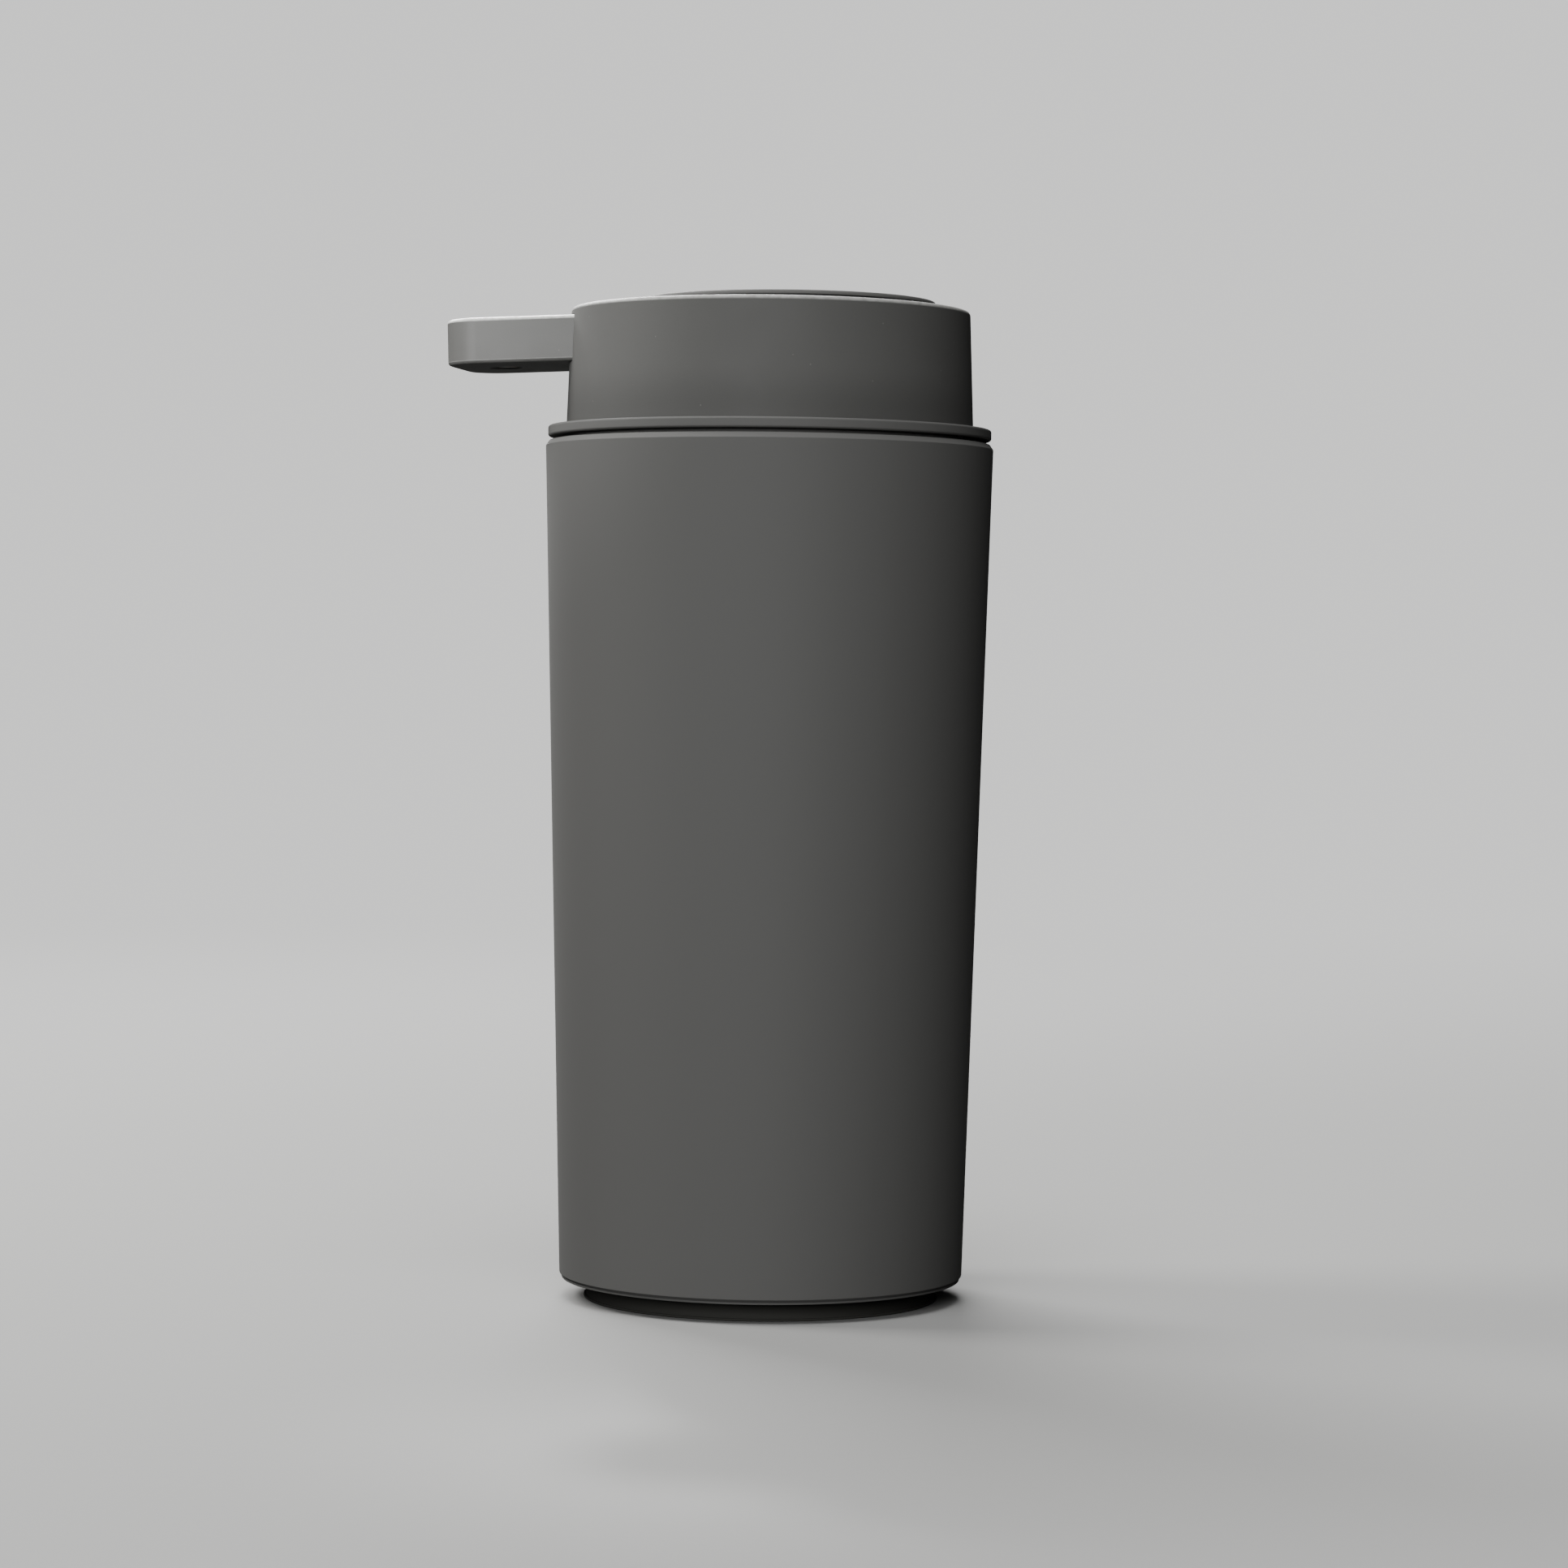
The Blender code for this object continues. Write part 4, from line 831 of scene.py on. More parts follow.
class DISPENSER_OT_cup(bpy.types.Operator):
    """Turn the tapered cup with its banded rim and base"""
    bl_idname = "dispenser.cup"
    bl_label = "Cup"

    def execute(self, context):
        cup = settings("cup")
        under = low("cup").z
        top = high("cup").z
        wall_top = top - cup.rim_band
        wall_radius = high("cup").x
        wall_bottom = under + cup.base_band
        base_radius = wall_radius - cup.taper * (wall_top - wall_bottom)
        floor_top = under + cup.floor
        inner_base = wall_radius - cup.taper * (wall_top - floor_top) - cup.wall
        band_radius = base_radius - cup.base_step
        slope_bottom = wall_bottom - cup.base_slope
        socket_radius = cup.spigot_radius + cup.gap
        socket_roof = high("foot_pad").z + cup.gap
        outline = [
            (0.0, floor_top),
            (inner_base, floor_top, cup.floor_round),
            (wall_radius - cup.wall, top, cup.rim_round),
            (wall_radius - cup.rim_lean, top, cup.rim_round),
            (wall_radius, wall_top, cup.rim_round),
            (base_radius, wall_bottom, cup.base_round),
            (band_radius - cup.base_round / 2, slope_bottom),
            (band_radius, slope_bottom, cup.base_round / 3),
            (band_radius, under, cup.base_round / 3),
            (socket_radius, under, cup.base_round),
            (socket_radius, socket_roof),
            (0.0, socket_roof),
        ]
        body = turned(outline, cup.sides)
        # The sloping rim band is marked worn: its lighter tone is wear and a painted highlight.
        rubbed_and_lit = body.faces.layers.float.new("worn_edge")
        for face in body.faces:
            if face.calc_center_median().z > wall_top:
                face[rubbed_and_lit] = cup.rim_wear_highlight
        weigh_normals(add_piece(body, "cup_shell", "base", "cup", "soft_touch_grey"))
        return {"FINISHED"}


class DISPENSER_OT_foot(bpy.types.Operator):
    """Turn the black foot pad with its spigot"""
    bl_idname = "dispenser.foot"
    bl_label = "Foot Pad"

    def execute(self, context):
        cup = settings("cup")
        bottom = low("foot_pad").z
        top = high("foot_pad").z
        radius = high("foot_pad").x
        shoulder = low("cup").z - cup.gap
        outline = [
            (0.0, top),
            (cup.spigot_radius, top, cup.base_round * 2),
            (cup.spigot_radius, shoulder),
            (radius - cup.foot_lip, shoulder, cup.base_round),
            (radius - cup.foot_lip, bottom + cup.foot_lip),
            (radius, bottom + cup.foot_lip, cup.foot_round),
            (radius, bottom, cup.foot_round),
            (0.0, bottom),
        ]
        add_turned_piece(outline, cup.sides, "foot", "base", "foot_pad", "foot_rubber")
        return {"FINISHED"}


# ---------------------------------------------------------------- lid

class DISPENSER_OT_lid(bpy.types.Operator):
    """Turn the lid: collar, neck, well, seal groove and threaded boss"""
    bl_idname = "dispenser.lid"
    bl_label = "Lid"

    def execute(self, context):
        lid = settings("lid")
        cup = settings("cup")
        top = high("lid_collar").z
        bottom = low("lid_collar").z
        collar_radius = high("lid_collar").x
        collar_bottom = top - lid.collar_height
        seal_low = low("lid_seal").z - lid.gap
        seal_high = high("lid_seal").z + lid.gap
        gasket_radius = high("pump_gasket").x
        floor_top = low("pump_gasket").z - lid.gap
        floor_bottom = floor_top - lid.floor
        head_radius = high("press_cap").x
        well = head_radius + lid.gap
        neck = well + lid.neck_wall
        groove = neck - lid.groove_depth
        carrier = neck - lid.carrier_wall
        hole = settings("pump").bore + settings("pump").barrel_wall + lid.gap
        boss_inner = gasket_radius + lid.gap
        boss = boss_inner + lid.boss_wall
        boss_top = floor_top + lid.boss_height
        small = settings("pump").small_round
        outline = [
            (collar_radius, top, lid.collar_round),
            (collar_radius, collar_bottom, lid.collar_round),
            (neck, collar_bottom),
            (neck, seal_high, small / 2),
            (groove, seal_high),
            (groove, seal_low),
            (neck, seal_low, small / 2),
            (neck, bottom, small),
            (carrier, bottom, small),
            (carrier, floor_bottom, small * 2),
            (hole, floor_bottom, small),
            (hole, floor_top),
            (boss_inner, floor_top),
            (boss_inner, boss_top, small),
            (boss, boss_top, small),
            (boss, floor_top, small * 2),
            (well, floor_top, small * 2),
            (well, top, lid.mouth_round),
        ]
        body = turned(outline, cup.sides)
        ridge = lid.thread_depth
        pitch = lid.boss_height / (lid.thread_count + 1)
        for vert in body.verts:
            radius = vert.co.xy.length
            if abs(radius - boss) < WELD_DISTANCE and floor_top < vert.co.z < boss_top:
                vert.co.xy *= 1.0 - ridge / radius
        piece = add_piece(body, "lid_body", "lid", "lid_collar", "soft_touch_grey")
        rings = []
        for index in range(lid.thread_count):
            height = boss_top - (index + 1) * pitch
            foot = pitch * lid.thread_foot
            ring = [
                (boss - ridge, height + foot),
                (boss, height),
                (boss - ridge, height - foot),
                (boss - lid.boss_wall / 2, height),
            ]
            rings.append(turned(ring, settings("pump").sides))
        cut(piece, rings, "UNION")
        weigh_normals(piece)
        return {"FINISHED"}


class DISPENSER_OT_seals(bpy.types.Operator):
    """Turn the lid's seal, the pump's gasket and the piston"""
    bl_idname = "dispenser.seals"
    bl_label = "Seals"

    def execute(self, context):
        self.make_lid_seal()
        self.make_gasket()
        self.make_piston()
        return {"FINISHED"}

    def make_lid_seal(self):
        lid = settings("lid")
        bottom = low("lid_seal").z
        top = high("lid_seal").z
        lip = high("lid_seal").x
        inner = high("press_cap").x + lid.gap + lid.neck_wall - lid.groove_depth + lid.gap
        waist = (inner + lip) / 2
        third = (top - bottom) / 3
        small = third / 4
        outline = [
            (waist, top, small / 2),
            (lip, top - third / 2, small),
            (waist, top - third, small),
            (waist, bottom + third, small),
            (lip, bottom + third / 2, small),
            (waist, bottom, small / 2),
            (inner, bottom, small),
            (inner, top, small),
        ]
        add_turned_piece(outline, settings("cup").sides, "lid_ring_seal", "lid", "lid_seal",
                         "seal_rubber")

    def make_gasket(self):
        pump = settings("pump")
        bottom = low("pump_gasket").z
        top = high("pump_gasket").z
        small = (top - bottom) / 5
        inner = pump.bore + pump.barrel_wall + pump.gap
        outline = ring_outline(high("pump_gasket").x, inner, top, bottom, small)
        add_turned_piece(outline, pump.sides, "flange_gasket", "lid", "pump_gasket",
                         "seal_rubber")

    def make_piston(self):
        pump = settings("pump")
        bottom = low("piston").z
        top = high("piston").z
        outer = high("piston").x
        inner = pump.stem_radius + pump.gap
        lip = (top - bottom) / 5
        waist = outer - pump.small_round * 3
        cup_radius = (outer + inner) / 2
        hollow = lip * PISTON_HOLLOW
        outline = [
            (outer, top, pump.small_round / 2),
            (waist, top - lip, pump.small_round),
            (waist, bottom + lip, pump.small_round),
            (outer, bottom, pump.small_round / 2),
            (cup_radius, bottom + hollow, pump.small_round),
            (inner, bottom, pump.small_round / 2),
            (inner, top, pump.small_round / 2),
            (cup_radius, top - hollow, pump.small_round),
        ]
        add_turned_piece(outline, pump.sides, "piston_ring", "plunger", "piston", "seal_rubber")


# ---------------------------------------------------------------- head

def head_radius(height):
    """The head's outer radius at a height."""
    return high("press_cap").x - settings("head").taper * (height - low("press_cap").z)


def channel_height():
    """The height of the soap's way through the spout."""
    start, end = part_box("spout_tube")
    return (start.z + end.z) / 2


def spout_exit():
    """How far from the axis the spout's sides leave the head."""
    return math.sqrt(head_radius(high("spout").z) ** 2 - (settings("spout").width / 2) ** 2)


def spout_inner_end():
    """How far from the axis the spout's bar starts, inside the head's skirt."""
    return spout_exit() - 1.5 * settings("head").wall


def disc_place():
    """The top disc's centre along X, and its radius."""
    start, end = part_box("top_disc")
    return (start.x + end.x) / 2, (end.x - start.x) / 2


class DISPENSER_OT_press_cap(bpy.types.Operator):
    """Turn the head's shell and open it for the spout"""
    bl_idname = "dispenser.press_cap"
    bl_label = "Press Cap"

    def execute(self, context):
        head = settings("head")
        spout = settings("spout")
        bottom = low("press_cap").z
        top = high("press_cap").z
        roof_bottom = top - head.roof
        small = settings("pump").small_round
        outline = [
            (0.0, top),
            (head_radius(top), top, head.edge_round),
            (head_radius(bottom), bottom, small),
            (head_radius(bottom) - head.wall, bottom, small),
            (head_radius(roof_bottom) - head.wall, roof_bottom, small * 3),
            (0.0, roof_bottom),
        ]
        piece = add_piece(turned(outline, settings("cup").sides), "press_head", "head",
                          "press_cap", "soft_touch_grey", head_soft_touch())
        half_width = spout.width / 2 + spout.gap / 2
        half_height = spout.thickness / 2 + spout.gap / 2
        channel = channel_height()
        window = block((-high("press_cap").x - head.wall, -half_width, channel - half_height),
                       (-spout_inner_end() + spout.gap, half_width, channel + half_height))
        centre, radius = disc_place()
        recess = rod(radius + head.disc_gap, (centre, 0.0, top - head.recess),
                     (centre, 0.0, top + head.recess), settings("cup").sides)
        cut(piece, [window, recess])
        weigh_normals(piece)
        return {"FINISHED"}


class DISPENSER_OT_top_disc(bpy.types.Operator):
    """Turn the raised disc in the head's roof"""
    bl_idname = "dispenser.top_disc"
    bl_label = "Top Disc"

    def execute(self, context):
        head = settings("head")
        bottom = low("top_disc").z
        top = high("top_disc").z - head.disc_drop
        centre, radius = disc_place()
        neck = radius - head.disc_undercut
        plate_bottom = top - head.disc_plate
        outline = [
            (0.0, top),
            (radius, top, head.disc_round),
            (radius, plate_bottom, head.disc_round / 4),
            (neck, plate_bottom),
            (neck, bottom),
            (0.0, bottom),
        ]
        body = turned(outline, settings("cup").sides)
        bmesh.ops.translate(body, vec=(centre, 0.0, 0.0), verts=body.verts)
        weigh_normals(add_piece(body, "disc", "head", "top_disc", "soft_touch_grey"))
        return {"FINISHED"}


class DISPENSER_OT_spout(bpy.types.Operator):
    """Shape the flat spout with its tenon, its channel and the seat of its nozzle"""
    bl_idname = "dispenser.spout"
    bl_label = "Spout"

    def execute(self, context):
        spout = settings("spout")
        wall = settings("head").wall
        inner_end = spout_inner_end()
        half_width = spout.width / 2
        channel = channel_height()
        half = spout.thickness / 2
        outline = rounded([
            (inner_end, -half_width),
            (spout.reach, -half_width, spout.tip_round),
            (spout.reach, half_width, spout.tip_round),
            (inner_end, half_width),
        ])
        body = bmesh.new()
        corners = [body.verts.new((-point.x, point.y, channel - half)) for point in outline]
        face = body.faces.new(corners)
        grown = bmesh.ops.extrude_face_region(body, geom=[face])
        lifted = [item for item in grown["geom"] if isinstance(item, bmesh.types.BMVert)]
        bmesh.ops.translate(body, vec=(0.0, 0.0, spout.thickness), verts=lifted)
        tidy(body)
        bevelled(body, SHARP_ANGLE, spout.edge_round, 5)
        pivot = Matrix.Translation((-spout_exit(), 0.0, channel))
        bmesh.ops.rotate(body, verts=body.verts, cent=pivot.translation,
                         matrix=Matrix.Rotation(-spout.droop, 3, "Y"))
        piece = add_piece(body, "spout_bar", "head", "spout", "soft_touch_grey",
                          spout_soft_touch())
        tenon_end = -high("spout").x
        roof_bottom = high("press_cap").z - settings("head").roof
        tenon = block((-inner_end - wall, -spout.tenon_width / 2, channel - half + wall / 2),
                      (-tenon_end, spout.tenon_width / 2, roof_bottom - spout.gap))
        cut(piece, [tenon], "UNION")
        sides = settings("pump").sides // 2
        tube_radius = (high("spout_tube").z - low("spout_tube").z) / 2
        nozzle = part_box("nozzle_tip")
        nozzle_x = (nozzle[0].x + nozzle[1].x) / 2
        seat_radius = (nozzle[1].x - nozzle[0].x) / 2 + spout.gap
        channel_rod = rod(tube_radius + spout.gap, (wall - tenon_end, 0.0, channel),
                          (nozzle_x, 0.0, channel), sides)
        seat_rod = rod(seat_radius, (nozzle_x, 0.0, channel - spout.thickness),
                       (nozzle_x, 0.0, channel + tube_radius / 2), sides)
        cut(piece, [channel_rod, seat_rod])
        weigh_normals(piece)
        return {"FINISHED"}


class DISPENSER_OT_spout_tube(bpy.types.Operator):
    """Make the tube inside the spout and the nozzle at its end"""
    bl_idname = "dispenser.spout_tube"
    bl_label = "Spout Tube and Nozzle"

    def execute(self, context):
        spout = settings("spout")
        pump = settings("pump")
        start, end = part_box("spout_tube")
        radius = (end.z - start.z) / 2
        channel = (end.z + start.z) / 2
        half_length = (end.x - start.x) / 2
        outline = ring_outline(radius, radius - spout.tube_wall, half_length, -half_length,
                               pump.small_round / 2)
        body = turned(outline, pump.sides // 2)
        bmesh.ops.rotate(body, verts=body.verts, cent=(0, 0, 0),
                         matrix=Matrix.Rotation(math.radians(90.0), 3, "Y"))
        bmesh.ops.translate(body, verts=body.verts, vec=((start.x + end.x) / 2, 0.0, channel))
        weigh_normals(add_piece(body, "soap_tube", "head", "spout_tube", "natural_plastic"))
        bottom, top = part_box("nozzle_tip")
        outer = (top.x - bottom.x) / 2
        bush = [
            (outer, top.z, pump.small_round / 2),
            (outer, bottom.z, pump.small_round / 2),
            (spout.nozzle_bore, bottom.z, pump.small_round),
            (spout.nozzle_bore, top.z, pump.small_round / 2),
        ]
        body = turned(bush, pump.sides)
        bmesh.ops.translate(body, verts=body.verts, vec=((bottom.x + top.x) / 2, 0.0, 0.0))
        weigh_normals(add_piece(body, "nozzle", "head", "nozzle_tip", "natural_plastic"))
        return {"FINISHED"}


class DISPENSER_OT_head_insert(bpy.types.Operator):
    """Make the ribbed plate and hub inside the head"""
    bl_idname = "dispenser.head_insert"
    bl_label = "Head Insert"

    def execute(self, context):
        head = settings("head")
        pump = settings("pump")
        bottom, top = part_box("head_insert")
        plate_top = bottom.z + head.plate
        small = pump.small_round
        socket = pump.stem_radius + pump.gap
        socket_top = high("pump_stem").z + pump.gap
        channel = channel_height()
        passage = pump.stem_bore
        outline = [
            (0.0, top.z),
            (head.hub_radius, top.z, small),
            (head.hub_radius, plate_top, small * 2),
            (top.x, plate_top, small),
            (top.x, bottom.z, small),
            (socket, bottom.z, small),
            (socket, socket_top, small),
            (passage, socket_top),
            (passage, channel),
            (0.0, channel),
        ]
        piece = add_piece(turned(outline, pump.sides), "hub_plate", "head", "head_insert",
                          "natural_plastic")
        tube_radius = (high("spout_tube").z - low("spout_tube").z) / 2 + pump.gap
        port = rod(tube_radius, (-head.hub_radius * 2, 0.0, channel), (0.0, 0.0, channel),
                   pump.sides // 2)
        cut(piece, [port])
        half_rib = head.plate / 3
        rib_start = head.hub_radius * head.rib_root
        rib_end = top.x * head.rib_reach
        ribs = []
        for index in range(head.rib_count):
            turn = math.tau * (index + 0.5) / head.rib_count
            rib = block((rib_start, -half_rib, plate_top - head.plate / 2),
                        (rib_end, half_rib, plate_top + head.plate))
            bmesh.ops.rotate(rib, verts=rib.verts, cent=(0, 0, 0),
                             matrix=Matrix.Rotation(turn, 3, "Z"))
            ribs.append(rib)
        cut(piece, ribs, "UNION")
        weigh_normals(piece)
        return {"FINISHED"}


# ---------------------------------------------------------------- pump

class DISPENSER_OT_housing(bpy.types.Operator):
    """Turn the pump's barrel with its valve chamber and tube socket"""
    bl_idname = "dispenser.housing"
    bl_label = "Pump Housing"

    def execute(self, context):
        pump = settings("pump")
        bottom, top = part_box("pump_housing")
        small = pump.small_round
        barrel = pump.bore + pump.barrel_wall
        step = low("ball_retainer").z - pump.gap
        tube = high("dip_tube").x
        socket = tube + pump.gap
        socket_top = high("dip_tube").z + pump.gap
        ball_radius = high("inlet_ball").x
        chamber = ball_radius + pump.inlet_clearance
        seat = ball_radius * pump.valve_seat
        cone_top = step - pump.inlet_chamber
        cone_bottom = cone_top - pump.valve_cone
        tail = socket + pump.tail_wall
        outline = [
            (top.x, top.z, small),
            (top.x, top.z - pump.flange, small),
            (barrel, top.z - pump.flange, small),
            (barrel, step - pump.barrel_wall, pump.barrel_wall),
            (tail, step - pump.barrel_wall, small * 2),
            (tail, bottom.z, small),
            (socket, bottom.z, small),
            (socket, socket_top),
            (seat, socket_top),
            (seat, cone_bottom, small),
            (chamber, cone_top, small),
            (chamber, step, small),
            (pump.bore, step),
            (pump.bore, top.z, small),
        ]
        piece = add_piece(turned(outline, pump.sides), "barrel", "lid", "pump_housing",
                          "natural_plastic")
        bead_height = top.z - pump.flange - pump.bead_drop
        beads = []
        for height in (bead_height, bead_height - pump.bead_step):
            bead = [
                (barrel - small, height + small * 2),
                (barrel + small, height + small, small / 2),
                (barrel + small, height - small, small / 2),
                (barrel - small, height - small * 2),
            ]
            beads.append(turned(bead, pump.sides))
        cut(piece, beads, "UNION")
        weigh_normals(piece)
        return {"FINISHED"}


class DISPENSER_OT_closure(bpy.types.Operator):
    """Turn the stem guide, the fluted retaining nut and the ball retainer"""
    bl_idname = "dispenser.closure"
    bl_label = "Guide, Nut and Retainer"

    def execute(self, context):
        self.make_guide()
        self.make_nut()
        self.make_retainer()
        return {"FINISHED"}

    def make_guide(self):
        pump = settings("pump")
        bottom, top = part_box("stem_guide")
        small = pump.small_round
        bore = pump.stem_radius + pump.gap
        flange_top = bottom.z + pump.flange
        outline = [
            (pump.guide_radius, top.z, small * 2),
            (pump.guide_radius, flange_top, small),
            (top.x, flange_top, small),
            (top.x, bottom.z, small),
            (bore, bottom.z, small),
            (bore, top.z, small * 2),
        ]
        add_turned_piece(outline, pump.sides, "guide", "lid", "stem_guide", "natural_plastic")

    def make_nut(self):
        pump = settings("pump")
        bottom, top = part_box("retaining_nut")
        small = pump.small_round
        inner = top.x - pump.nut_wall
        hole = pump.guide_radius + pump.gap
        roof_bottom = top.z - pump.nut_roof
        outline = [
            (top.x, top.z, small * 3),
            (top.x, bottom.z, small),
            (inner, bottom.z, small),
            (inner, roof_bottom, small),
            (hole, roof_bottom, small),
            (hole, top.z, small),
        ]
        body = turned(outline, pump.flute_count * FLUTE_FACETS)
        for vert in body.verts:
            radius = vert.co.xy.length
            if radius > top.x - small * 3:
                place = math.atan2(vert.co.y, vert.co.x)
                wave = (1.0 - math.cos(place * pump.flute_count)) / 2
                vert.co.xy *= 1.0 - wave * pump.flute_depth / radius
        weigh_normals(add_piece(body, "nut", "lid", "retaining_nut", "natural_plastic"))

    def make_retainer(self):
        pump = settings("pump")
        bottom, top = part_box("ball_retainer")
        outline = ring_outline(top.x, pump.retainer_hole, top.z, bottom.z, pump.small_round)
        add_turned_piece(outline, pump.sides, "retainer", "lid", "ball_retainer",
                         "natural_plastic")


class DISPENSER_OT_dip_tube(bpy.types.Operator):
    """Make the dip tube and cut its mouth at a slant"""
    bl_idname = "dispenser.dip_tube"
    bl_label = "Dip Tube"

    def execute(self, context):
        pump = settings("pump")
        bottom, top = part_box("dip_tube")
        radius = top.x
        inner = radius - pump.tube_wall
        small = pump.small_round / 2
        outline = [
            (radius, top.z, small),
            (radius, bottom.z),
            (inner, bottom.z),
            (inner, top.z, small),
        ]
        body = turned(outline, pump.sides // 2)
        slope = Vector((pump.tube_cut, 0.0, 2 * radius)).normalized()
        sliced = bmesh.ops.bisect_plane(body, geom=body.verts[:] + body.edges[:] + body.faces[:],
                                        dist=WELD_DISTANCE, plane_co=(radius, 0.0, bottom.z),
                                        plane_no=slope, clear_inner=True)
        rims = [item for item in sliced["geom_cut"] if isinstance(item, bmesh.types.BMEdge)]
        bmesh.ops.bridge_loops(body, edges=rims)
        tidy(body)
        weigh_normals(add_piece(body, "suction_tube", "lid", "dip_tube", "clear_tube"))
        return {"FINISHED"}


class DISPENSER_OT_stem(bpy.types.Operator):
    """Turn the hollow stem with its shoulder and foot"""
    bl_idname = "dispenser.stem"
    bl_label = "Pump Stem"

    def execute(self, context):
        pump = settings("pump")
        bottom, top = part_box("pump_stem")
        small = pump.small_round
        piston_low = low("piston").z
        piston_high = high("piston").z
        shoulder = pump.stem_radius + pump.shoulder_width
        shoulder_bottom = piston_high + pump.gap
        shoulder_top = shoulder_bottom + pump.shoulder_height
        chamber = high("outlet_ball").x + pump.outlet_clearance
        cone_top = top.z - pump.outlet_chamber
        cone_bottom = cone_top - pump.valve_cone
        outline = [
            (pump.stem_radius, top.z, small),
            (pump.stem_radius, shoulder_top, small),
            (shoulder, shoulder_top, small),
            (shoulder, shoulder_bottom, small),
            (pump.stem_radius, shoulder_bottom),
            (pump.stem_radius, piston_low - pump.gap),
            (top.x, piston_low - pump.gap, small),
            (top.x, bottom.z, small),
            (pump.stem_bore, bottom.z, small),
            (pump.stem_bore, cone_bottom, small),
            (chamber, cone_top, small),
            (chamber, top.z, small),
        ]
        add_turned_piece(outline, pump.sides, "stem", "plunger", "pump_stem", "natural_plastic")
        return {"FINISHED"}


class DISPENSER_OT_spring(bpy.types.Operator):
    """Wind the return spring, with a closed turn at each end"""
    bl_idname = "dispenser.spring"
    bl_label = "Return Spring"

    def execute(self, context):
        pump = settings("pump")
        bottom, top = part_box("return_spring")
        wire = pump.wire_radius
        mean = top.x - wire
        steps = pump.turn_steps
        closed_rise = pump.closed_rise * wire
        open_rise = (top.z - bottom.z - 2 * wire - 2 * closed_rise) / pump.spring_turns
        body = bmesh.new()
        across = Matrix.Translation((mean, 0.0, bottom.z + wire)) @ Matrix.Rotation(
            math.radians(90.0), 4, "X")
        bmesh.ops.create_circle(body, cap_ends=False, segments=pump.wire_sides, radius=wire,
                                matrix=across)
        section = body.verts[:] + body.edges[:]
        runs = ((closed_rise, 1), (open_rise, pump.spring_turns), (closed_rise, 1))
        for rise, turns in runs:
            made = bmesh.ops.spin(body, geom=section, cent=(0, 0, 0), axis=(0, 0, 1),
                                  dvec=(0, 0, rise / steps), angle=math.tau * turns,
                                  steps=steps * turns, use_merge=False, use_duplicate=False)
            section = made["geom_last"]
        bmesh.ops.holes_fill(body, edges=[edge for edge in body.edges if edge.is_boundary], sides=0)
        tidy(body)
        piece = add_piece(body, "coil_spring", "lid", "return_spring", "spring_steel")
        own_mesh(piece)
        return {"FINISHED"}


class DISPENSER_OT_balls(bpy.types.Operator):
    """Make the two valve balls"""
    bl_idname = "dispenser.balls"
    bl_label = "Valve Balls"

    def execute(self, context):
        for node, rides_on in (("inlet_ball", "inlet_valve"), ("outlet_ball", "outlet_valve")):
            start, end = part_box(node)
            sides = settings("pump").sides // 2
            body = bmesh.new()
            bmesh.ops.create_uvsphere(body, u_segments=sides, v_segments=sides // 2,
                                      radius=(end.z - start.z) / 2,
                                      matrix=Matrix.Translation((start + end) / 2))
            add_piece(body, node + "_bearing", rides_on, node, "spring_steel")
        return {"FINISHED"}


# ---------------------------------------------------------------- stage

def floor_material():
    """The pale floor: evenly bright far away, and dim to everything but the camera."""
    material, tree, shader, vector = blank_material("pale_floor")
    stage = settings("stage")
    skin = place_group(tree, "moulded_skin", vector, Colour=tuple(stage.floor_colour),
                       Roughness=0.75, Tone_Amount=0.03, Roughness_Amount=0.1, Grain_Scale=400.0,
                       Patch_Scale=6.0)
    seen = add_node(tree, "ShaderNodeLightPath").outputs["Is Camera Ray"]
    distance = add_node(tree, "ShaderNodeVectorMath", operation="LENGTH")
    tree.links.new(vector, distance.inputs[0])
    far = smooth_ramp(tree, distance.outputs["Value"], stage.fade_start, stage.fade_end)
    black = (0.0, 0.0, 0.0, 1.0)
    near_colour = mix_colour(tree, far, skin.outputs["Colour"], black)
    bounce = tuple(channel * stage.bounce for channel in stage.floor_colour[:3]) + (1.0,)
    tree.links.new(mix_colour(tree, seen, bounce, near_colour), shader.inputs["Base Color"])
    glow = mix_colour(tree, far, black, tuple(stage.backdrop))
    tree.links.new(mix_colour(tree, seen, black, glow), shader.inputs["Emission Color"])
    shader.inputs["Emission Strength"].default_value = 1.0
    tree.links.new(skin.outputs["Roughness"], shader.inputs["Roughness"])
    shader.inputs["Specular IOR Level"].default_value = 0.0
    return material


def studio_world():
    """Pale where the camera sees it, and dim as a light on the dispenser."""
    stage = settings("stage")
    world = bpy.data.worlds.new("studio")
    world.use_nodes = True
    tree = world.node_tree
    dim = tree.nodes["Background"]
    dim.inputs["Color"].default_value = tuple(stage.ambient_tint)
    dim.inputs["Strength"].default_value = stage.ambient
    pale = add_node(tree, "ShaderNodeBackground")
    pale.inputs["Color"].default_value = tuple(stage.backdrop)
    seen = add_node(tree, "ShaderNodeLightPath").outputs["Is Camera Ray"]
    mix = add_node(tree, "ShaderNodeMixShader")
    tree.links.new(seen, mix.inputs[0])
    tree.links.new(dim.outputs[0], mix.inputs[1])
    tree.links.new(pale.outputs[0], mix.inputs[2])
    tree.links.new(mix.outputs[0], tree.nodes["World Output"].inputs["Surface"])
    return world


def place_lamp(name, light, place, aim):
    """Hang a light at a place and turn it to face a point."""
    lamp = link_object(name, light)
    lamp.location = place
    lamp.rotation_mode = "QUATERNION"
    lamp.rotation_quaternion = (Vector(aim) - Vector(place)).to_track_quat("-Z", "Y")


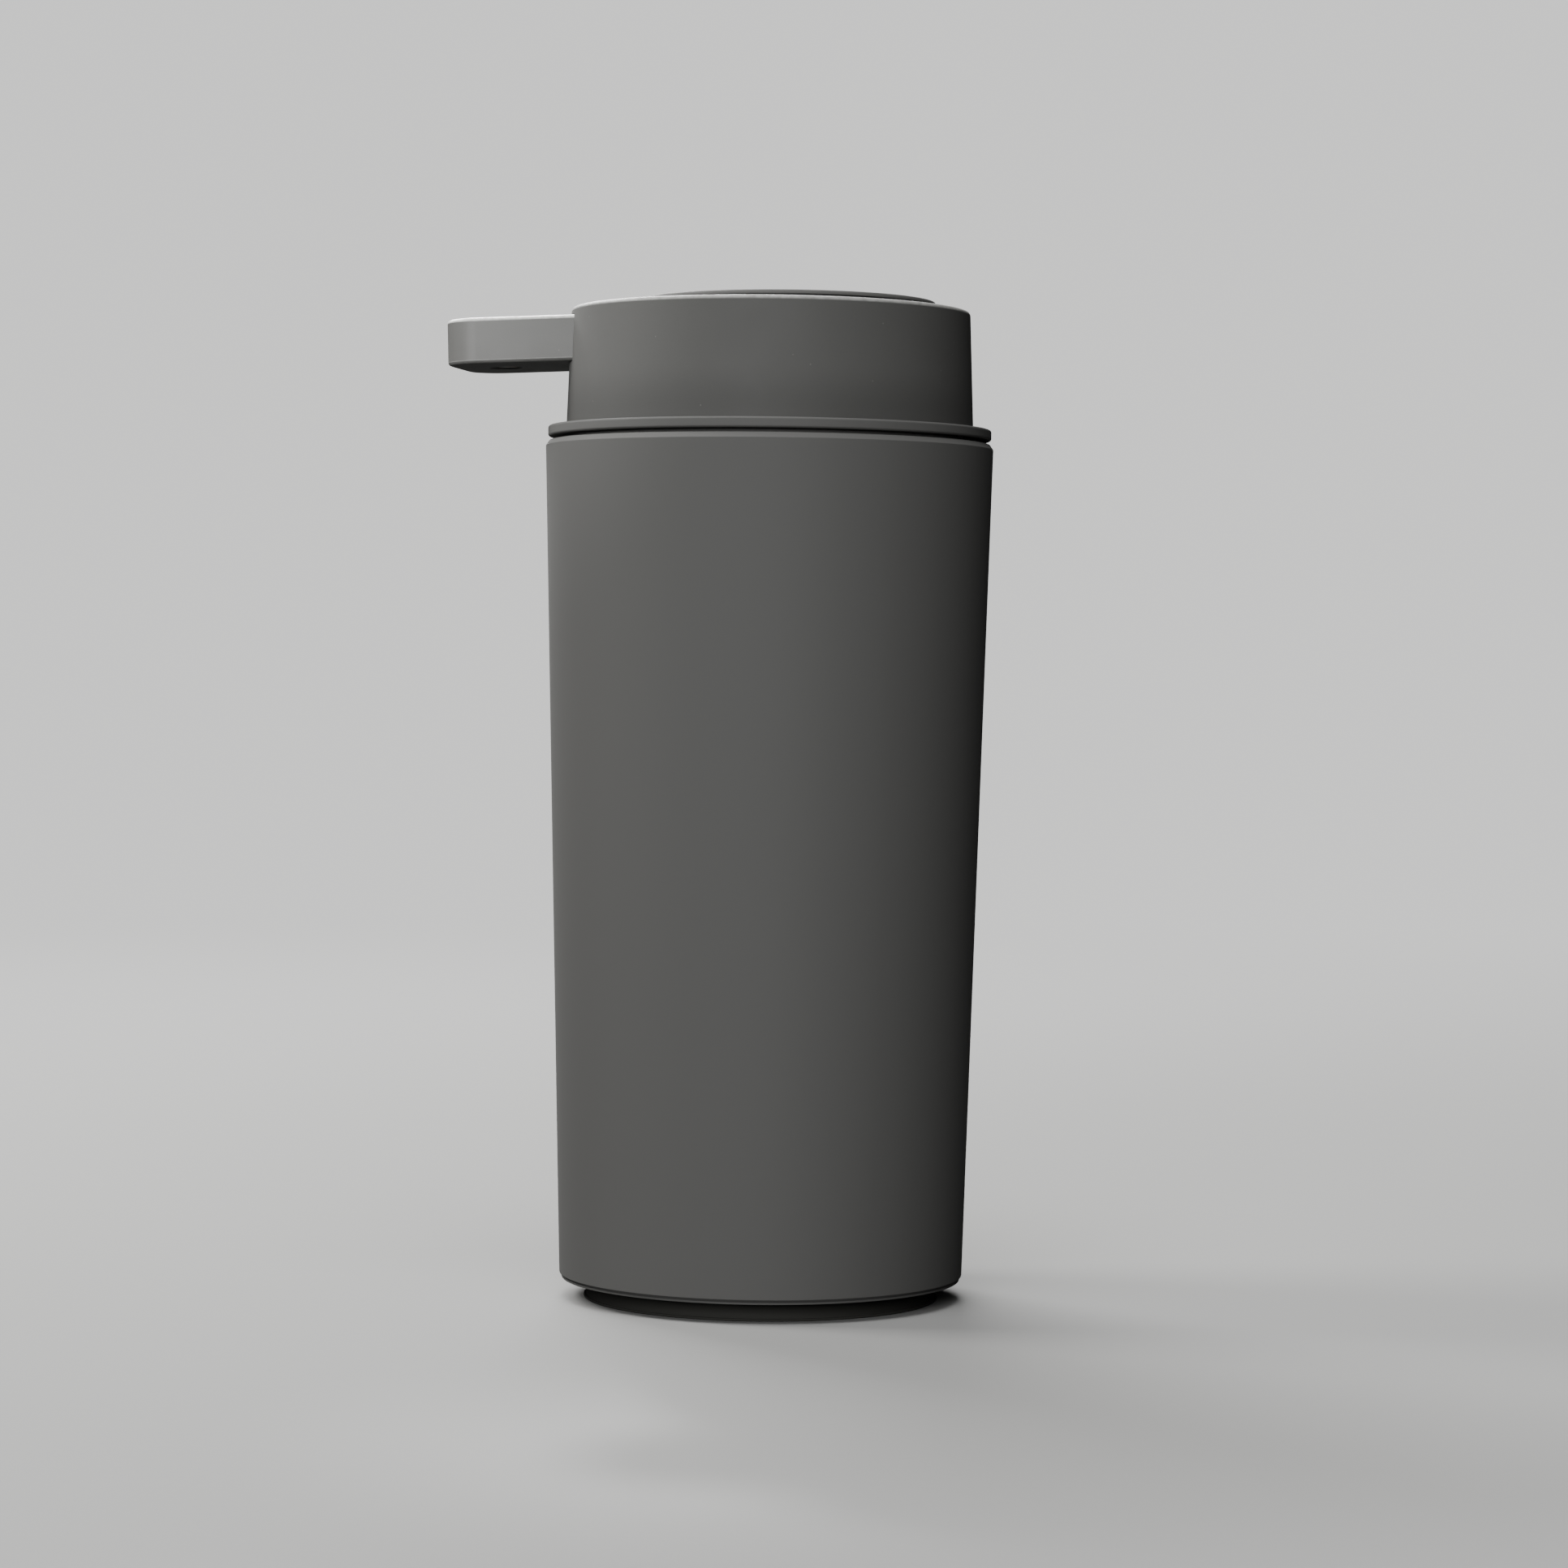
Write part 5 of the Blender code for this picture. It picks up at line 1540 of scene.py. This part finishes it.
def add_softbox(name, place, aim, width, height, power, tint):
    """A rectangular area light that faces a point."""
    light = bpy.data.lights.new(name, "AREA")
    light.shape = "RECTANGLE"
    light.size = width
    light.size_y = height
    light.energy = power
    light.color = tint
    place_lamp(name, light, place, aim)


def add_spot(name, place, aim, opening, power):
    """A soft-edged spot light that faces a point."""
    light = bpy.data.lights.new(name, "SPOT")
    light.spot_size = opening
    light.spot_blend = 1.0
    light.shadow_soft_size = SPOT_RADIUS
    light.energy = power
    place_lamp(name, light, place, aim)


class DISPENSER_OT_stage(bpy.types.Operator):
    """Set up the floor, the soft lights and the camera"""
    bl_idname = "dispenser.stage"
    bl_label = "Stage"

    def execute(self, context):
        self.make_floor()
        self.make_lights()
        self.make_camera()
        return {"FINISHED"}

    def make_floor(self):
        stage = settings("stage")
        ground = CAD_BOX[0].z - WELD_DISTANCE
        body = bmesh.new()
        bmesh.ops.create_circle(body, cap_ends=True, cap_tris=False, segments=FLOOR_SIDES,
                                radius=stage.floor_radius,
                                matrix=Matrix.Translation((0.0, 0.0, ground)))
        floor = link_object("studio_floor", mesh_from(body, "studio_floor"))
        floor.data.materials.append(floor_material())

    def make_lights(self):
        stage = settings("stage")
        turn = Matrix.Rotation(stage.camera_azimuth, 3, "Z")
        middle = (CAD_BOX[0].z + CAD_BOX[1].z) / 2
        aim = Vector((0.0, 0.0, middle))
        for name, (place, width, height, tint) in SOFTBOXES.items():
            add_softbox(name, turn @ Vector(place), aim, width, height,
                        getattr(stage, name + "_power"), tint)
        spout_low, spout_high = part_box("spout")
        spout_aim = Vector((spout_low.x * stage.spot_aim, 0.0, (spout_low.z + spout_high.z) / 2))
        for name, offset in SPOTS.items():
            add_spot("spout_" + name, spout_aim + turn @ Vector(offset), spout_aim,
                     stage.spot_angle, getattr(stage, name + "_power"))
        bpy.context.scene.world = studio_world()

    def make_camera(self):
        stage = settings("stage")
        data = bpy.data.cameras.new("camera")
        data.lens = stage.lens
        data.sensor_width = 36.0
        data.clip_start = 0.01
        data.clip_end = 20.0
        camera = link_object("camera", data)
        place = Matrix.Rotation(stage.camera_azimuth, 3, "Z") @ Vector(
            (0.0, -stage.camera_distance, stage.camera_height))
        heading = Matrix.Rotation(stage.camera_azimuth + stage.camera_yaw, 4, "Z")
        tilt = Matrix.Rotation(math.radians(90.0) - stage.camera_pitch, 4, "X")
        roll = Matrix.Rotation(stage.camera_roll, 4, "Z")
        camera.matrix_world = Matrix.Translation(place) @ heading @ tilt @ roll
        bpy.context.scene.camera = camera


# ---------------------------------------------------------------- panel and registration

OPERATORS = (
    DISPENSER_OT_cup,
    DISPENSER_OT_foot,
    DISPENSER_OT_lid,
    DISPENSER_OT_seals,
    DISPENSER_OT_press_cap,
    DISPENSER_OT_top_disc,
    DISPENSER_OT_spout,
    DISPENSER_OT_spout_tube,
    DISPENSER_OT_head_insert,
    DISPENSER_OT_housing,
    DISPENSER_OT_closure,
    DISPENSER_OT_dip_tube,
    DISPENSER_OT_stem,
    DISPENSER_OT_spring,
    DISPENSER_OT_balls,
    DISPENSER_OT_stage,
)


class DISPENSER_PT_panel(bpy.types.Panel):
    """Lists the operators in the sidebar"""
    bl_label = "Soap Pump Dispenser"
    bl_idname = "DISPENSER_PT_panel"
    bl_space_type = "VIEW_3D"
    bl_region_type = "UI"
    bl_category = "Dispenser"

    def draw(self, context):
        column = self.layout.column(align=True)
        for operator in OPERATORS:
            column.operator(operator.bl_idname)


def register():
    """Register the settings, the operators and the panel."""
    for name, group in SETTINGS.items():
        bpy.utils.register_class(group)
        setattr(bpy.types.Scene, "dispenser_" + name, PointerProperty(type=group))
    for operator in OPERATORS:
        bpy.utils.register_class(operator)
    bpy.utils.register_class(DISPENSER_PT_panel)


def unregister():
    """Take everything that register() added away again."""
    bpy.utils.unregister_class(DISPENSER_PT_panel)
    for operator in reversed(OPERATORS):
        bpy.utils.unregister_class(operator)
    for name, group in SETTINGS.items():
        delattr(bpy.types.Scene, "dispenser_" + name)
        bpy.utils.unregister_class(group)


def main():
    """Build every piece and the stage."""
    register()
    for operator in OPERATORS:
        family, name = operator.bl_idname.split(".")
        getattr(getattr(bpy.ops, family), name)()


if __name__ == "__main__":
    main()
